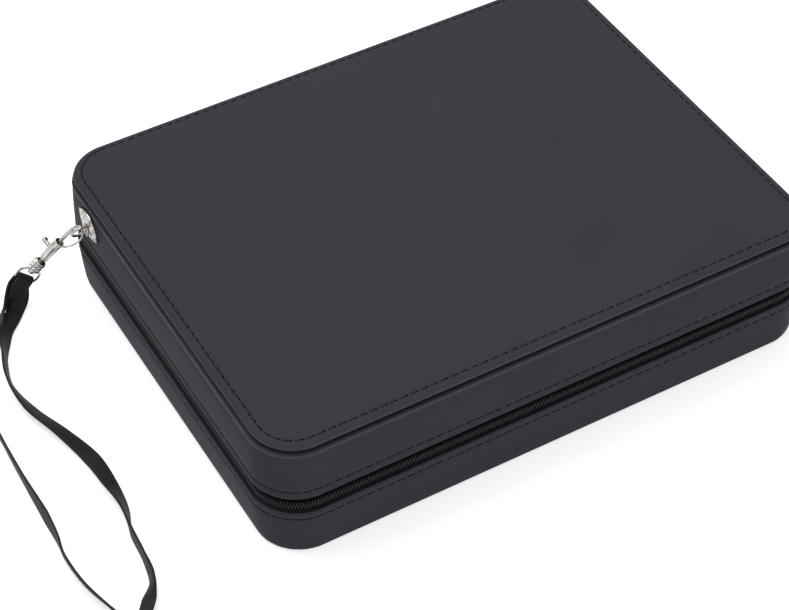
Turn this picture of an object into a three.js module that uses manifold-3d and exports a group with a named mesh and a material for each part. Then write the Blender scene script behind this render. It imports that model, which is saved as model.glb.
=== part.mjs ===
// Travel backgammon set in a soft case that a zip closes on three sides.
// Millimetres, +Z up, origin at the centre of the case's underside, long side along X, hinge at +Y.
// The photograph shows the closed case, its clasp and its wrist strap. The inside is what such a set holds.

import * as THREE from 'three';
import { mergeVertices } from 'three/addons/utils/BufferGeometryUtils.js';
import Module from 'manifold-3d';

const wasm = await Module();
wasm.setup();

// Driving dimensions of the case
const caseLength = 229;
const caseDepth = 178;
const caseHeight = 55;
const caseCorner = 17.6;
const baseHeight = 20.5;
const zipGap = 8;
const wallSwell = 1.1;
const footInset = 0.5;
const bandThickness = 2.2;
const bandFold = 0.9;
const bandLift = 0.4;
const clearance = 0.3;
const overrun = 1;
const coverThickness = 2.3;
const coverNeck = 0.7;
const coverInset = 1.8;
const coverRound = 0.8;
const cornerSteps = 8;
const foldShares = [0, 0.5, 1];

// Trays, playing fields and the trough for the pieces
const trayWall = 2.7;
const trayFloor = 1.2;
const trayDrop = 0.5;
const feltThickness = 1;
const barWidth = 8;
const troughWidth = 27;
const dividerWidth = 4;
const partitionWidth = 1.6;
const middleLength = 31;

// Pieces of the game
const checkerCount = 15;
const checkerRadius = 10.5;
const checkerChamfer = 0.6;
const checkerSides = 20;
const rollMargin = 0.5;
const rollSpare = 5;
const rollOffset = 1.5;
const dieSize = 8;
const cubeSize = 12;
const pieceGap = 0.6;
const cupWall = 1.8;
const cupLength = 45;
const cupGap = 2;
const cupMiddle = 11.5;
const cupMargin = 2;
const cupHeadroom = 6.5;
const cupSides = 24;

// Zip, its slider and its puller
const tapeThickness = 1;
const tapeInset = 1.2;
const coilHalf = 2.15;
const coilRound = 0.5;
const sliderLength = 9.5;
const sliderPlate = 1.6;
const sliderShoulder = 2.4;
const sliderY = 60;
const bridgeLength = 5;
const bridgeHeight = 3;
const bridgeWidth = 1.6;
const bridgeStrut = 0.8;
const pullerLength = 24;
const pullerWidth = 5;
const pullerThickness = 1.2;
const pullerWindow = 2.9;
const pullerRim = 1.1;

// Spine that joins the two halves
const spineThickness = 1.5;
const spineEndGap = 1;

// Anchor plate on the lid and the ring that turns in it
const plateLength = 16;
const plateWidth = 7.6;
const plateThickness = 0.8;
const plateRise = Math.PI / 7;
const postRadius = 1.2;
const bossRadius = 1.8;
const bossHeight = 1;
const ringRadius = 3.05;
const ringWire = 0.65;
const rivetSpan = 10.4;
const rivetHead = 1.4;
const rivetDome = 0.7;
const rivetEdge = 0.25;
const leafSegments = 10;
const ringSides = 24;
const wireSides = 8;
const smallSides = 10;

// Clasp: a sprung bolt in a barrel closes the hook's bow, and a swivel joins it to the strap's eye.
// Places along the clasp are measured down its axis from where the bolt meets the bow.
const claspTop = new THREE.Vector3(-121, 63, 42.15);
const claspAim = new THREE.Vector3(-0.467, 0.389, -0.794).normalize();
const hookSide = claspAim.clone().cross(new THREE.Vector3(1, 0, 0)).normalize();
const eyeSide = new THREE.Vector3(0.76, -0.28, -0.58);
const ringAlong = -2.9;
const ringAcross = 3;
const bowWire = 0.75;
const bowTip = 0.5;
const bowReach = 5.1;
const bowLength = 15.4;
const bowSteps = 26;
// Bow in [across, along] shares of its reach and its length, chosen from the photograph
const bowShares = [[0.24, 1], [0.62, 0.82], [0.86, 0.64], [1, 0.31], [0.9, 0.09], [0.5, 0], [0.12, 0.08],
  [0, 0.22], [0, 0.27]];
const barrelStart = 9.5;
const barrelEnd = 21.4;
const barrelRadius = 1.9;
const boreRadius = 1.1;
const boreEnd = 20.4;
const neckEnd = 23;
const stemRadius = 0.9;
const boltRadius = 0.8;
const boltTip = -0.2;
const boltEnd = 16.2;
const triggerAlong = 15;
const triggerTravel = 3.5;
const triggerStem = 0.7;
const triggerReach = 4.6;
const knobRadius = 1.2;
const collarStart = 24;
const collarEnd = 30.8;
const collarRadius = 2;
const collarRidge = 0.6;
const collarRims = 7;
const headRadius = 1.6;
const headLength = 1;
const eyeWire = 0.65;
const eyeBar = 37.6;
const eyeShoulder = 32.4;
const eyeRoot = 29.8;
const eyeSteps = 30;
const roundSides = 14;

// Wrist strap: a sewn fold goes round the eye's bar, and both ends of the loop meet it face to face.
// The loop turns about X, so the fold twists until its width lies along X, and the ends are cut along X.
const strapWidth = 6.6;
const strapThickness = 1.1;
const strapSteps = 72;
const strapRound = 0.35;
const foldLayer = 1.5;
const foldLength = 5.5;
const foldSteps = 20;
const foldTurnShares = [0, 0.25, 0.5, 0.75, 1];
const strandLayer = 0.75;
const leanRun = 5;
const strandRun = 1.5;

// Colours
const leather = { color: 0x303136, roughness: 0.62, metalness: 0 };
const nickel = { color: 0xc9c6c2, roughness: 0.22, metalness: 1 };
const webbing = { color: 0x121214, roughness: 0.8, metalness: 0 };
const zipBlack = { color: 0x0e0e10, roughness: 0.55, metalness: 0 };
const board = { color: 0x1c1c1e, roughness: 0.9, metalness: 0 };
const felt = { color: 0x24312b, roughness: 0.95, metalness: 0 };
const ivory = { color: 0xe6dcc4, roughness: 0.35, metalness: 0 };
const burgundy = { color: 0x5a1820, roughness: 0.35, metalness: 0 };

// Heights and insets that follow from the driving dimensions
const lidBottom = baseHeight + zipGap;
const zipMiddle = baseHeight + zipGap / 2;
const trayOutset = -(bandThickness + clearance);
const trayInset = trayOutset - trayWall;
const innerLength = caseLength / 2 + trayInset;
const innerDepth = caseDepth / 2 + trayInset;
const baseFloorLow = coverThickness + clearance;
const baseFloor = baseFloorLow + trayFloor;
const baseRim = baseHeight - trayDrop;
const lidCoverLow = caseHeight - coverThickness;
const lidFloorHigh = lidCoverLow - clearance;
const lidFloor = lidFloorHigh - trayFloor;
const lidRim = lidBottom + trayDrop;
const dividerFront = -innerDepth + troughWidth;
const dividerBack = dividerFront + dividerWidth;
const barFront = innerDepth - barWidth;
const troughMiddle = -innerDepth + troughWidth / 2;
const rollLow = middleLength / 2 + partitionWidth + rollMargin;
const rollLength = innerLength - rollSpare - rollLow;
const checkerThickness = (rollLength + clearance) / checkerCount - clearance;
const cupFloor = baseFloor + clearance + feltThickness + clearance;
const cupRadius = (lidFloor - clearance - feltThickness - cupHeadroom - cupFloor) / 2;

const object = new THREE.Group();
object.name = 'travel_backgammon_set';

function add(name, geometry, look, parent = object) {
  const mesh = new THREE.Mesh(geometry, new THREE.MeshStandardMaterial(look));
  mesh.name = name;
  parent.add(mesh);
  return mesh;
}

// A closed body through equal loops of points: the ends are capped, or the last loop joins the first.
function loft(loops, closed = false) {
  const count = loops[0].length;
  const positions = loops.flat().flatMap((p) => [p.x, p.y, p.z]);
  const faces = [];
  const spans = closed ? loops.length : loops.length - 1;
  for (let i = 0; i < spans; i += 1) {
    const low = i * count;
    const high = ((i + 1) % loops.length) * count;
    for (let k = 0; k < count; k += 1) {
      const next = (k + 1) % count;
      faces.push([low + k, low + next, high + next], [low + k, high + next, high + k]);
    }
  }
  if (!closed) {
    capFaces(loops[0]).forEach(([a, b, c]) => faces.push([c, b, a]));
    const top = (loops.length - 1) * count;
    capFaces(loops[loops.length - 1]).forEach(([a, b, c]) => faces.push([top + a, top + b, top + c]));
  }
  return outward(positions, faces);
}

function capFaces(loop) {
  const normal = new THREE.Vector3();
  loop.forEach((p, i) => normal.add(new THREE.Vector3().crossVectors(p, loop[(i + 1) % loop.length])));
  normal.normalize();
  const across = new THREE.Vector3().subVectors(loop[1], loop[0]);
  across.addScaledVector(normal, -across.dot(normal)).normalize();
  const up = new THREE.Vector3().crossVectors(normal, across);
  const flat = loop.map((p) => new THREE.Vector2(p.dot(across), p.dot(up)));
  return THREE.ShapeUtils.triangulateShape(flat, []);
}

function outward(positions, faces) {
  const point = (i) => new THREE.Vector3().fromArray(positions, 3 * i);
  const volume = faces.reduce((sum, [a, b, c]) => sum + point(a).dot(point(b).cross(point(c))), 0);
  const index = faces.flatMap(([a, b, c]) => (volume < 0 ? [a, c, b] : [a, b, c]));
  const geometry = new THREE.BufferGeometry();
  geometry.setAttribute('position', new THREE.Float32BufferAttribute(positions, 3));
  geometry.setIndex(index);
  return geometry;
}

function solid(geometry) {
  const bare = geometry.clone();
  bare.deleteAttribute('normal');
  bare.deleteAttribute('uv');
  const merged = mergeVertices(bare);
  const mesh = new wasm.Mesh({
    numProp: 3,
    vertProperties: new Float32Array(merged.attributes.position.array),
    triVerts: new Uint32Array(merged.index.array),
  });
  return new wasm.Manifold(mesh);
}

function surface(manifold) {
  const { vertProperties, triVerts } = manifold.getMesh();
  const geometry = new THREE.BufferGeometry();
  geometry.setAttribute('position', new THREE.BufferAttribute(new Float32Array(vertProperties), 3));
  geometry.setIndex(new THREE.BufferAttribute(new Uint32Array(triVerts), 1));
  return geometry;
}

function block(x0, x1, y0, y1, z0, z1) {
  const geometry = new THREE.BoxGeometry(x1 - x0, y1 - y0, z1 - z0);
  return geometry.translate((x0 + x1) / 2, (y0 + y1) / 2, (z0 + z1) / 2);
}

// A group whose own X, Y and Z lie along the given directions
function framed(origin, xAxis, zAxis) {
  const z = zAxis.clone().normalize();
  const x = xAxis.clone().addScaledVector(z, -xAxis.dot(z)).normalize();
  const y = new THREE.Vector3().crossVectors(z, x);
  const group = new THREE.Group();
  group.quaternion.setFromRotationMatrix(new THREE.Matrix4().makeBasis(x, y, z));
  group.position.copy(origin);
  object.add(group);
  return group;
}

// Turning profile of [radius, height] pairs, which starts and ends on the axis, turned about Z
function turned(profile, sides = roundSides) {
  const points = profile.map(([radius, height]) => new THREE.Vector2(radius, height));
  return new THREE.LatheGeometry(points, sides).rotateX(Math.PI / 2);
}

// Rounded-rectangle outline of the case: stations run from the back left corner round the front
const quarter = Math.PI / 2;
const stations = [[-1, 1, 1], [-1, -1, 2], [1, -1, 3], [1, 1, 4]].flatMap(([sideX, sideY, turns]) =>
  Array.from({ length: cornerSteps + 1 }, (_, step) => {
    const angle = (turns + step / cornerSteps) * quarter;
    return {
      x: sideX * (caseLength / 2 - caseCorner),
      y: sideY * (caseDepth / 2 - caseCorner),
      dx: Math.cos(angle),
      dy: Math.sin(angle),
    };
  }));

function stationPoint({ x, y, dx, dy }, outset, z) {
  return new THREE.Vector3(x + (caseCorner + outset) * dx, y + (caseCorner + outset) * dy, z);
}

const outlineAt = ([outset, z]) => stations.map((station) => stationPoint(station, outset, z));
const sectionAt = (profile) => (station) => profile.map(([outset, z]) => stationPoint(station, outset, z));
const stacked = (levels) => loft(levels.map(outlineAt));
const ringOf = (profile) => loft(stations.map(sectionAt(profile)), true);

// A quarter-round edge in three points, from straight out to straight up or down
function fold(outset, edge, radius, up) {
  return foldShares.map((share) => [
    outset - radius + radius * Math.cos(share * quarter),
    edge - up * (radius - radius * Math.sin(share * quarter)),
  ]);
}

// Leather side band of one half, folded over at its rim and at its far edge
function band(farOutset, farZ, rimZ) {
  const up = Math.sign(rimZ - farZ);
  return ringOf([
    ...fold(wallSwell, rimZ, bandFold, up),
    [-bandThickness, rimZ],
    [-bandThickness, farZ],
    ...fold(farOutset, farZ, bandFold, -up).reverse(),
  ]);
}

// Tray of one half: walls, floor and the bar at the hinge side
function tray(outerZ, floorZ, rimZ) {
  const outer = solid(stacked([[trayOutset, outerZ], [trayOutset, rimZ]]));
  const past = rimZ + Math.sign(rimZ - floorZ) * overrun;
  const hollow = solid(stacked([[trayInset, floorZ], [trayInset, past]]));
  const bar = solid(block(-caseLength, caseLength, barFront, caseDepth, 0, caseHeight));
  return surface(outer.subtract(hollow.subtract(bar)));
}

// Playing field: felt board that fills the tray's floor between divider and bar
function playingField(lowZ, highZ) {
  const fieldInset = trayInset - clearance;
  const whole = solid(stacked([[fieldInset, lowZ], [fieldInset, highZ]]));
  const reach = solid(block(
    -caseLength, caseLength, dividerBack + clearance, barFront - clearance, 0, caseHeight,
  ));
  return surface(whole.intersect(reach));
}

// Divider along the trough, with the two partitions of the middle compartment
function divider(lowZ, highZ) {
  const end = innerLength - clearance;
  const front = -innerDepth + clearance;
  const near = middleLength / 2;
  const far = near + partitionWidth;
  const half = [[end, dividerBack], [end, dividerFront], [far, dividerFront], [far, front],
    [near, front], [near, dividerFront]];
  const mirrored = half.map(([x, y]) => [-x, y]).reverse();
  const shape = new THREE.Shape([...half, ...mirrored].map(([x, y]) => new THREE.Vector2(x, y)));
  const body = new THREE.ExtrudeGeometry(shape, { depth: highZ - lowZ, bevelEnabled: false });
  return body.translate(0, 0, lowZ);
}

// One half of the zip, from one back corner round the front to the other: tape and coil
function zipHalf(rimZ, up) {
  const start = rimZ + up * clearance;
  const meet = zipMiddle - up * clearance / 2;
  const coilFar = zipMiddle - up * coilHalf;
  const profile = [
    [-tapeInset - tapeThickness, start],
    [-tapeInset, start],
    [-tapeInset, coilFar],
    [-coilRound, coilFar],
    [0, coilFar + up * coilRound],
    [0, meet - up * coilRound],
    [-coilRound, meet],
    [-tapeInset - tapeThickness, meet],
  ];
  return loft(stations.map(sectionAt(profile)));
}

function coverRings(outerZ, up) {
  const innerZ = outerZ - up * coverThickness;
  const neckZ = innerZ + up * coverNeck;
  return [
    [-coverInset, innerZ],
    [-coverInset, neckZ],
    [-coverRound / 2, neckZ],
    [0, neckZ + up * coverRound / 2],
    ...fold(0, outerZ, coverRound, up),
  ];
}

// Base half and lid half
add('base_bottom_cover', stacked([
  [trayOutset - coverNeck / 2, 0],
  [trayOutset, coverNeck / 2],
  [trayOutset, coverThickness],
]), leather);
add('base_band', band(-footInset, bandLift, baseHeight), leather);
add('base_tray', tray(baseFloorLow, baseFloor, baseRim), board);
add('base_playing_field', playingField(baseFloor + clearance, baseFloor + clearance + feltThickness), felt);
add('base_trough_divider', divider(baseFloor + clearance, baseRim), board);
add('base_zip_half', zipHalf(baseHeight, 1), zipBlack);
add('lid_top_cover', stacked(coverRings(caseHeight, 1)), leather);
add('lid_band', band(0, lidCoverLow - clearance, lidBottom), leather);
add('lid_tray', tray(lidFloorHigh, lidFloor, lidRim), board);
add('lid_playing_field', playingField(lidFloor - clearance - feltThickness, lidFloor - clearance), felt);
add('lid_trough_divider', divider(lidRim, lidFloor - clearance), board);
add('lid_zip_half', zipHalf(lidBottom, -1), zipBlack);

const spineEnd = caseLength / 2 - caseCorner - spineEndGap;
const spineBack = caseDepth / 2;
add('spine_strip', block(
  -spineEnd, spineEnd, spineBack - spineThickness, spineBack, baseHeight + clearance, lidBottom - clearance,
), leather);

// Checkers stand on edge in two rolls in the base trough, away from the tray's rounded corners
function checker() {
  const half = checkerThickness / 2;
  const face = checkerRadius - checkerChamfer;
  const edge = half - checkerChamfer;
  return turned([[0, -half], [face, -half], [checkerRadius, -edge], [checkerRadius, edge], [face, half],
    [0, half]], checkerSides).rotateY(quarter);
}

const rollStart = rollLow + checkerThickness / 2;
[['light_checker', 1, ivory], ['dark_checker', -1, burgundy]].forEach(([name, side, look]) => {
  for (let i = 0; i < checkerCount; i += 1) {
    const along = rollStart + i * (checkerThickness + clearance);
    const number = String(i + 1).padStart(2, '0');
    add(`${name}_${number}`, checker(), look)
      .position.set(side * along, troughMiddle + rollOffset, baseFloor + clearance + checkerRadius);
  }
});

// Doubling cube and dice lie in the middle compartment
function cube(size) {
  return new THREE.BoxGeometry(size, size, size);
}

const cubeX = -middleLength / 2 + pieceGap + cubeSize / 2;
const pieceFloor = baseFloor + clearance;
add('doubling_cube', cube(cubeSize), ivory).position.set(cubeX, troughMiddle, pieceFloor + cubeSize / 2);
const dieX = cubeX + cubeSize / 2 + pieceGap + dieSize / 2;
[['light_die', 0, ivory], ['dark_die', 1, burgundy]].forEach(([name, column, look]) => {
  [-1, 1].forEach((row) => {
    add(`${name}_${row < 0 ? 'front' : 'back'}`, cube(dieSize), look).position.set(
      dieX + column * (dieSize + pieceGap),
      troughMiddle + row * (dieSize + pieceGap) / 2,
      pieceFloor + dieSize / 2,
    );
  });
});

// Dice cups lie on the base field with their mouths towards +X
function cup() {
  const inner = cupRadius - cupWall;
  return turned([[0, 0], [cupRadius, 0], [cupRadius, cupLength], [inner, cupLength], [inner, cupWall],
    [0, cupWall]], cupSides).rotateZ(quarter).rotateY(quarter);
}

[['dice_cup_front', -1], ['dice_cup_back', 1]].forEach(([name, row]) => {
  add(name, cup(), leather).position.set(
    -innerLength + cupMargin,
    cupMiddle + row * (cupRadius + cupGap / 2),
    cupFloor + cupRadius,
  );
});

// Zip slider on the right side near the hinge, and its puller
const zipFace = caseLength / 2;
const sliderBack = zipFace + clearance;
const sliderFront = sliderBack + sliderPlate;
const sliderHalf = zipGap / 2 - 2 * clearance;
const bridgeSpan = bridgeLength / 2;

function slider() {
  const shoulder = sliderHalf - sliderPlate / 2;
  const half = sliderLength / 2;
  const plate = new THREE.Shape([
    [-half, -shoulder], [sliderShoulder, -sliderHalf], [half, -shoulder],
    [half, shoulder], [sliderShoulder, sliderHalf], [-half, shoulder],
  ].map(([x, y]) => new THREE.Vector2(x, y)));
  const plateBody = new THREE.ExtrudeGeometry(plate, { depth: sliderPlate, bevelEnabled: false });
  const arch = new THREE.Shape([
    [-bridgeSpan, -sliderPlate / 2], [bridgeSpan, -sliderPlate / 2],
    [bridgeSpan, bridgeHeight - bridgeStrut], [bridgeSpan - bridgeStrut, bridgeHeight],
    [bridgeStrut - bridgeSpan, bridgeHeight], [-bridgeSpan, bridgeHeight - bridgeStrut],
  ].map(([x, y]) => new THREE.Vector2(x, y)));
  const inside = bridgeSpan - bridgeStrut;
  arch.holes.push(new THREE.Path([
    [-inside, 0], [-inside, bridgeHeight - bridgeStrut], [inside, bridgeHeight - bridgeStrut], [inside, 0],
  ].map(([x, y]) => new THREE.Vector2(x, y))));
  const bridge = new THREE.ExtrudeGeometry(arch, { depth: bridgeWidth, bevelEnabled: false })
    .translate(0, 0, -bridgeWidth / 2).rotateX(quarter).translate(0, 0, sliderPlate);
  return surface(solid(plateBody).add(solid(bridge)));
}

const sliderGroup = framed(
  new THREE.Vector3(sliderBack, sliderY, zipMiddle),
  new THREE.Vector3(0, 1, 0),
  new THREE.Vector3(1, 0, 0),
);
add('zip_slider', slider(), nickel, sliderGroup);

// The puller hangs through the bridge on a cross bar, which is the axis it swings about
function puller() {
  const half = pullerWidth / 2;
  const barHalf = pullerThickness / 2;
  const end = pullerLength - barHalf;
  const tip = half / 2;
  const outline = new THREE.Shape([
    [-barHalf, -half], [end - tip, -half], [end, -tip], [end, tip], [end - tip, half], [-barHalf, half],
  ].map(([x, y]) => new THREE.Vector2(x, y)));
  const window = half - pullerRim;
  const far = barHalf + pullerWindow;
  outline.holes.push(new THREE.Path([
    [barHalf, -window], [barHalf, window], [far, window], [far, -window],
  ].map(([x, y]) => new THREE.Vector2(x, y))));
  return new THREE.ExtrudeGeometry(outline, { depth: pullerThickness, bevelEnabled: false })
    .translate(0, 0, -barHalf);
}

const pullerGroup = framed(
  new THREE.Vector3(sliderFront + (bridgeHeight - bridgeStrut) / 2, sliderY, zipMiddle),
  new THREE.Vector3(0, -1, 0),
  new THREE.Vector3(1, 0, 0),
);
add('zip_puller', puller(), nickel, pullerGroup);

// The ring turns about the anchor plate's middle, so its own centre sets the plate's place
const ringCentre = claspTop.clone().addScaledVector(claspAim, ringAlong)
  .addScaledVector(hookSide, ringAcross);

// The anchor plate lies on the lid's left wall, which leans outwards towards the zip. Its two rivets are
// joined to it.
const wallTop = lidCoverLow - clearance - bandFold;
const wallLow = lidBottom + bandFold;
const wallLean = Math.atan2(wallSwell, wallTop - wallLow);
const wallOutset = wallSwell * (wallTop - ringCentre.z) / (wallTop - wallLow);
const wallOut = new THREE.Vector3(-Math.cos(wallLean), 0, Math.sin(wallLean));
const plateFoot = new THREE.Vector3(-caseLength / 2 - wallOutset, ringCentre.y, ringCentre.z)
  .addScaledVector(wallOut, clearance);
const plateAlong = new THREE.Vector3(0, Math.cos(plateRise), Math.sin(plateRise));

function anchorPlate() {
  const end = plateLength / 2;
  const leaf = new THREE.Shape();
  leaf.moveTo(-end, 0);
  leaf.quadraticCurveTo(0, -plateWidth, end, 0);
  leaf.quadraticCurveTo(0, plateWidth, -end, 0);
  leaf.holes.push(new THREE.Path().absarc(0, 0, postRadius + clearance, 0, 4 * quarter, true));
  const plate = new THREE.ExtrudeGeometry(
    leaf, { depth: plateThickness, bevelEnabled: false, curveSegments: leafSegments });
  const rivetTop = plateThickness + rivetDome;
  const rivet = turned([[0, 0], [rivetHead, 0], [rivetHead, plateThickness + rivetEdge],
    [rivetHead - rivetEdge, rivetTop - rivetEdge], [0, rivetTop]], smallSides);
  const rivets = [-1, 1].map((side) => solid(rivet.clone().translate(side * rivetSpan / 2, 0, 0)));
  return surface(solid(plate).add(rivets[0]).add(rivets[1]));
}

const plateGroup = framed(plateFoot, plateAlong, wallOut);
add('anchor_plate', anchorPlate(), nickel, plateGroup);

// Hook, bolt and eye are built with the clasp's axis as Z, pointing down to the strap
const clasp = (side) => framed(claspTop, side, claspAim);
const hookGroup = clasp(hookSide);
const eyeGroup = clasp(eyeSide);

// Round wire along a curve
function wire(points, radius, steps) {
  const section = new THREE.Shape().absarc(0, 0, radius, 0, 4 * quarter, false);
  const path = new THREE.CatmullRomCurve3(points.map(([x, z]) => new THREE.Vector3(x, 0, z)));
  return new THREE.ExtrudeGeometry(section, { steps, curveSegments: wireSides, extrudePath: path });
}

const postFoot = -caseLength / 2 - wallOutset - 2 * clearance;
const bossFoot = plateFoot.x - plateThickness - clearance;

// The ring's plane holds the post and the clasp's axis, square to the bow that goes through it
function anchorRing() {
  const torus = solid(new THREE.TorusGeometry(ringRadius, ringWire, wireSides, ringSides));
  const bossTop = Math.abs(bossFoot - ringCentre.x);
  const boss = solid(turned([[0, bossTop - bossHeight], [bossRadius, bossTop - bossHeight],
    [bossRadius, bossTop], [postRadius, bossTop], [postRadius, postFoot - ringCentre.x],
    [0, postFoot - ringCentre.x]]).rotateY(quarter));
  return surface(torus.add(boss));
}

const ringGroup = framed(ringCentre, new THREE.Vector3(1, 0, 0), hookSide);
add('anchor_ring', anchorRing(), nickel, ringGroup);

function hook() {
  const bowTop = -bowTip - bowLength * bowShares[bowShares.length - 1][1];
  const bow = wire(
    bowShares.map(([across, along]) => [bowReach * across, bowTop + bowLength * along]), bowWire, bowSteps);
  const barrel = turned([[0, barrelStart], [barrelRadius, barrelStart], [barrelRadius, barrelEnd],
    [stemRadius, neckEnd], [stemRadius, collarEnd + clearance], [headRadius, collarEnd + clearance],
    [headRadius, collarEnd + clearance + headLength], [0, collarEnd + clearance + headLength]]);
  const bore = turned([[0, barrelStart - overrun], [boreRadius, barrelStart - overrun],
    [boreRadius, boreEnd], [0, boreEnd]]);
  const slotHalf = triggerStem + clearance;
  const slot = block(-barrelRadius - overrun, 0, -slotHalf, slotHalf, triggerAlong - slotHalf,
    triggerAlong + triggerTravel + slotHalf);
  const cut = solid(bore).add(solid(slot));
  return surface(solid(barrel).add(solid(bow)).subtract(cut));
}

function trigger() {
  const bolt = turned([[0, boltTip], [boltRadius, boltTip], [boltRadius, boltEnd], [0, boltEnd]]);
  const neck = triggerReach - knobRadius;
  const knob = turned([[0, 0], [triggerStem, 0], [triggerStem, neck], [knobRadius, neck],
    [knobRadius, triggerReach], [0, triggerReach]], smallSides);
  knob.rotateY(-quarter).translate(0, 0, triggerAlong);
  return surface(solid(bolt).add(solid(knob)));
}

function eye() {
  const side = strapWidth / 2 + clearance + eyeWire;
  const frame = wire([[-collarRadius, eyeRoot], [-side, eyeShoulder], [-side, eyeBar - eyeWire],
    [eyeWire - side, eyeBar], [0, eyeBar], [side - eyeWire, eyeBar], [side, eyeBar - eyeWire],
    [side, eyeShoulder], [collarRadius, eyeRoot]], eyeWire, eyeSteps);
  const ridge = collarRadius + collarRidge;
  const step = (collarEnd - collarStart) / collarRims;
  const rim = (index) => collarStart + index * step;
  const collar = turned([[0, rim(0)], [collarRadius, rim(0)], [collarRadius, rim(1)], [ridge, rim(1)],
    [ridge, rim(2)], [collarRadius, rim(3)], [collarRadius, rim(4)], [ridge, rim(5)], [ridge, rim(6)],
    [collarRadius, collarEnd], [0, collarEnd]]);
  const hole = turned([[0, collarStart - overrun], [stemRadius + clearance, collarStart - overrun],
    [stemRadius + clearance, collarEnd + overrun], [0, collarEnd + overrun]]);
  return surface(solid(collar).add(solid(frame)).subtract(solid(hole)));
}

add('clasp_hook', hook(), nickel, hookGroup);
add('clasp_trigger', trigger(), nickel, hookGroup);
add('clasp_eye', eye(), nickel, eyeGroup);

// Wrist strap: places and width directions, chosen by hand. On the table it stands on its edge.
const strapRoute = [
  { at: [-146.7, 81.2, 4.7], width: [0.66, -0.4, -0.64] },
  { at: [-152.3, 78, 4.3], width: [0.5, -0.45, -0.74] },
  { at: [-159, 71, 3.9], width: [0.3, -0.3, -0.9] },
  { at: [-166, 60.5, 3.6], width: [0.12, -0.1, -0.99] },
  { at: [-172.6, 45.3, 3.5], width: [0, 0, -1] },
  { at: [-175.6, 29, 3.5], width: [0, 0, -1] },
  { at: [-176.3, 10, 3.5], width: [0.1, 0, -1] },
  { at: [-176.8, -9.9, 3.5], width: [0.1, 0, -1] },
  { at: [-177.3, -30, 3.5], width: [0.1, 0, -1] },
  { at: [-178.6, -49.2, 3.5], width: [0, 0, -1] },
  { at: [-178, -64, 3.5], width: [0, 0, -1] },
  { at: [-174.6, -76.6, 3.5], width: [0, 0, -1] },
  { at: [-168, -84.6, 3.5], width: [0, 0, -1] },
  { at: [-160.6, -82.6, 3.5], width: [0, 0, -1] },
  { at: [-156.6, -75, 3.5], width: [0, 0, -1] },
  { at: [-154.6, -63.4, 3.5], width: [0, 0, -1] },
  { at: [-153.2, -50.9, 3.5], width: [0, 0, -1] },
  { at: [-151.4, -38.7, 3.5], width: [0.15, 0, -1] },
  { at: [-150.9, -25.2, 3.5], width: [0.3, 0, -0.95] },
  { at: [-152.1, -10.6, 3.5], width: [0.45, 0, -0.9] },
  { at: [-156.3, 6.4, 3.5], width: [0.4, 0.1, -0.9] },
  { at: [-160.8, 23.9, 3.5], width: [0.15, 0, -1] },
  { at: [-161.8, 39.5, 3.5], width: [0, 0, -1] },
  { at: [-158.6, 52.9, 3.6], width: [0.1, -0.1, -0.98] },
  { at: [-154, 63, 3.9], width: [0.3, -0.25, -0.92] },
  { at: [-149.6, 70.6, 4.3], width: [0.5, -0.4, -0.76] },
  { at: [-146, 76.4, 4.7], width: [0.66, -0.4, -0.64] },
];

const strapBar = claspTop.clone().addScaledVector(claspAim, eyeBar);
const [eyeAcross, endAcross] = [eyeSide, new THREE.Vector3(1, 0, 0)].map((across) =>
  across.clone().addScaledVector(claspAim, -across.dot(claspAim)).normalize());

// A knot of the strap near the eye: so far in front of the clasp's axis, so far past the bar, and with
// that share of the twist
function knotNear(front, past, twist) {
  const across = eyeAcross.clone().lerp(endAcross, twist).normalize();
  const out = new THREE.Vector3().crossVectors(claspAim, across);
  return {
    at: strapBar.clone().addScaledVector(out, front).addScaledVector(claspAim, past).toArray(),
    width: across.toArray(),
  };
}

// Flat ribbon through knots, which give its middle line and the direction of its width.
// Near both ends its sections lean until the end faces lie along X.
function ribbon(knots, steps) {
  const places = knots.map(({ at }) => new THREE.Vector3(...at));
  const widths = knots.map(({ width }) => new THREE.Vector3(...width).normalize());
  const path = new THREE.CatmullRomCurve3(places, false, 'centripetal');
  const spans = knots.length - 1;
  return loft(Array.from({ length: steps + 1 }, (_, step) => {
    const t = step / steps;
    const first = Math.min(Math.floor(t * spans), spans - 1);
    const place = path.getPoint(t);
    const along = path.getTangent(t);
    const width = widths[first].clone().lerp(widths[first + 1], t * spans - first);
    width.addScaledVector(along, -width.dot(along)).normalize();
    const thick = new THREE.Vector3().crossVectors(along, width);
    const lean = 1 - Math.min(place.distanceTo(places[0]), place.distanceTo(places[spans])) / leanRun;
    if (lean > 0) width.addScaledVector(along, lean * along.x / width.x);
    return ribbonSection(place, width, thick);
  }));
}

function ribbonSection(centre, width, thick) {
  const half = strapWidth / 2;
  const deep = strapThickness / 2;
  const flat = half - strapRound;
  const thin = deep - strapRound;
  const corners = [[half, thin], [flat, deep], [-flat, deep], [-half, thin], [-half, -thin], [-flat, -deep],
    [flat, -deep], [half, -thin]];
  return corners.map(([across, out]) => centre.clone().addScaledVector(width, across)
    .addScaledVector(thick, out));
}

const foldTurn = foldTurnShares.map((share) => knotNear(
  foldLayer * Math.cos(share * 2 * quarter), -foldLayer * Math.sin(share * 2 * quarter), 0));
const foldMiddle = (foldLayer + strandLayer) / 2;
const foldKnots = [
  knotNear(strandLayer, foldLength, 1), knotNear(foldMiddle, foldLength / 2, 1 / 2),
  ...foldTurn,
  knotNear(-foldMiddle, foldLength / 2, 1 / 2), knotNear(-strandLayer, foldLength, 1),
];
add('strap_fold', ribbon(foldKnots, foldSteps), webbing);

const strapStart = foldLength + clearance;
const strapKnots = [
  knotNear(-strandLayer, strapStart, 1), knotNear(-strandLayer, strapStart + strandRun, 1),
  ...strapRoute,
  knotNear(strandLayer, strapStart + strandRun, 1), knotNear(strandLayer, strapStart, 1),
];
add('wrist_strap', ribbon(strapKnots, strapSteps), webbing);

export default object;
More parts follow.
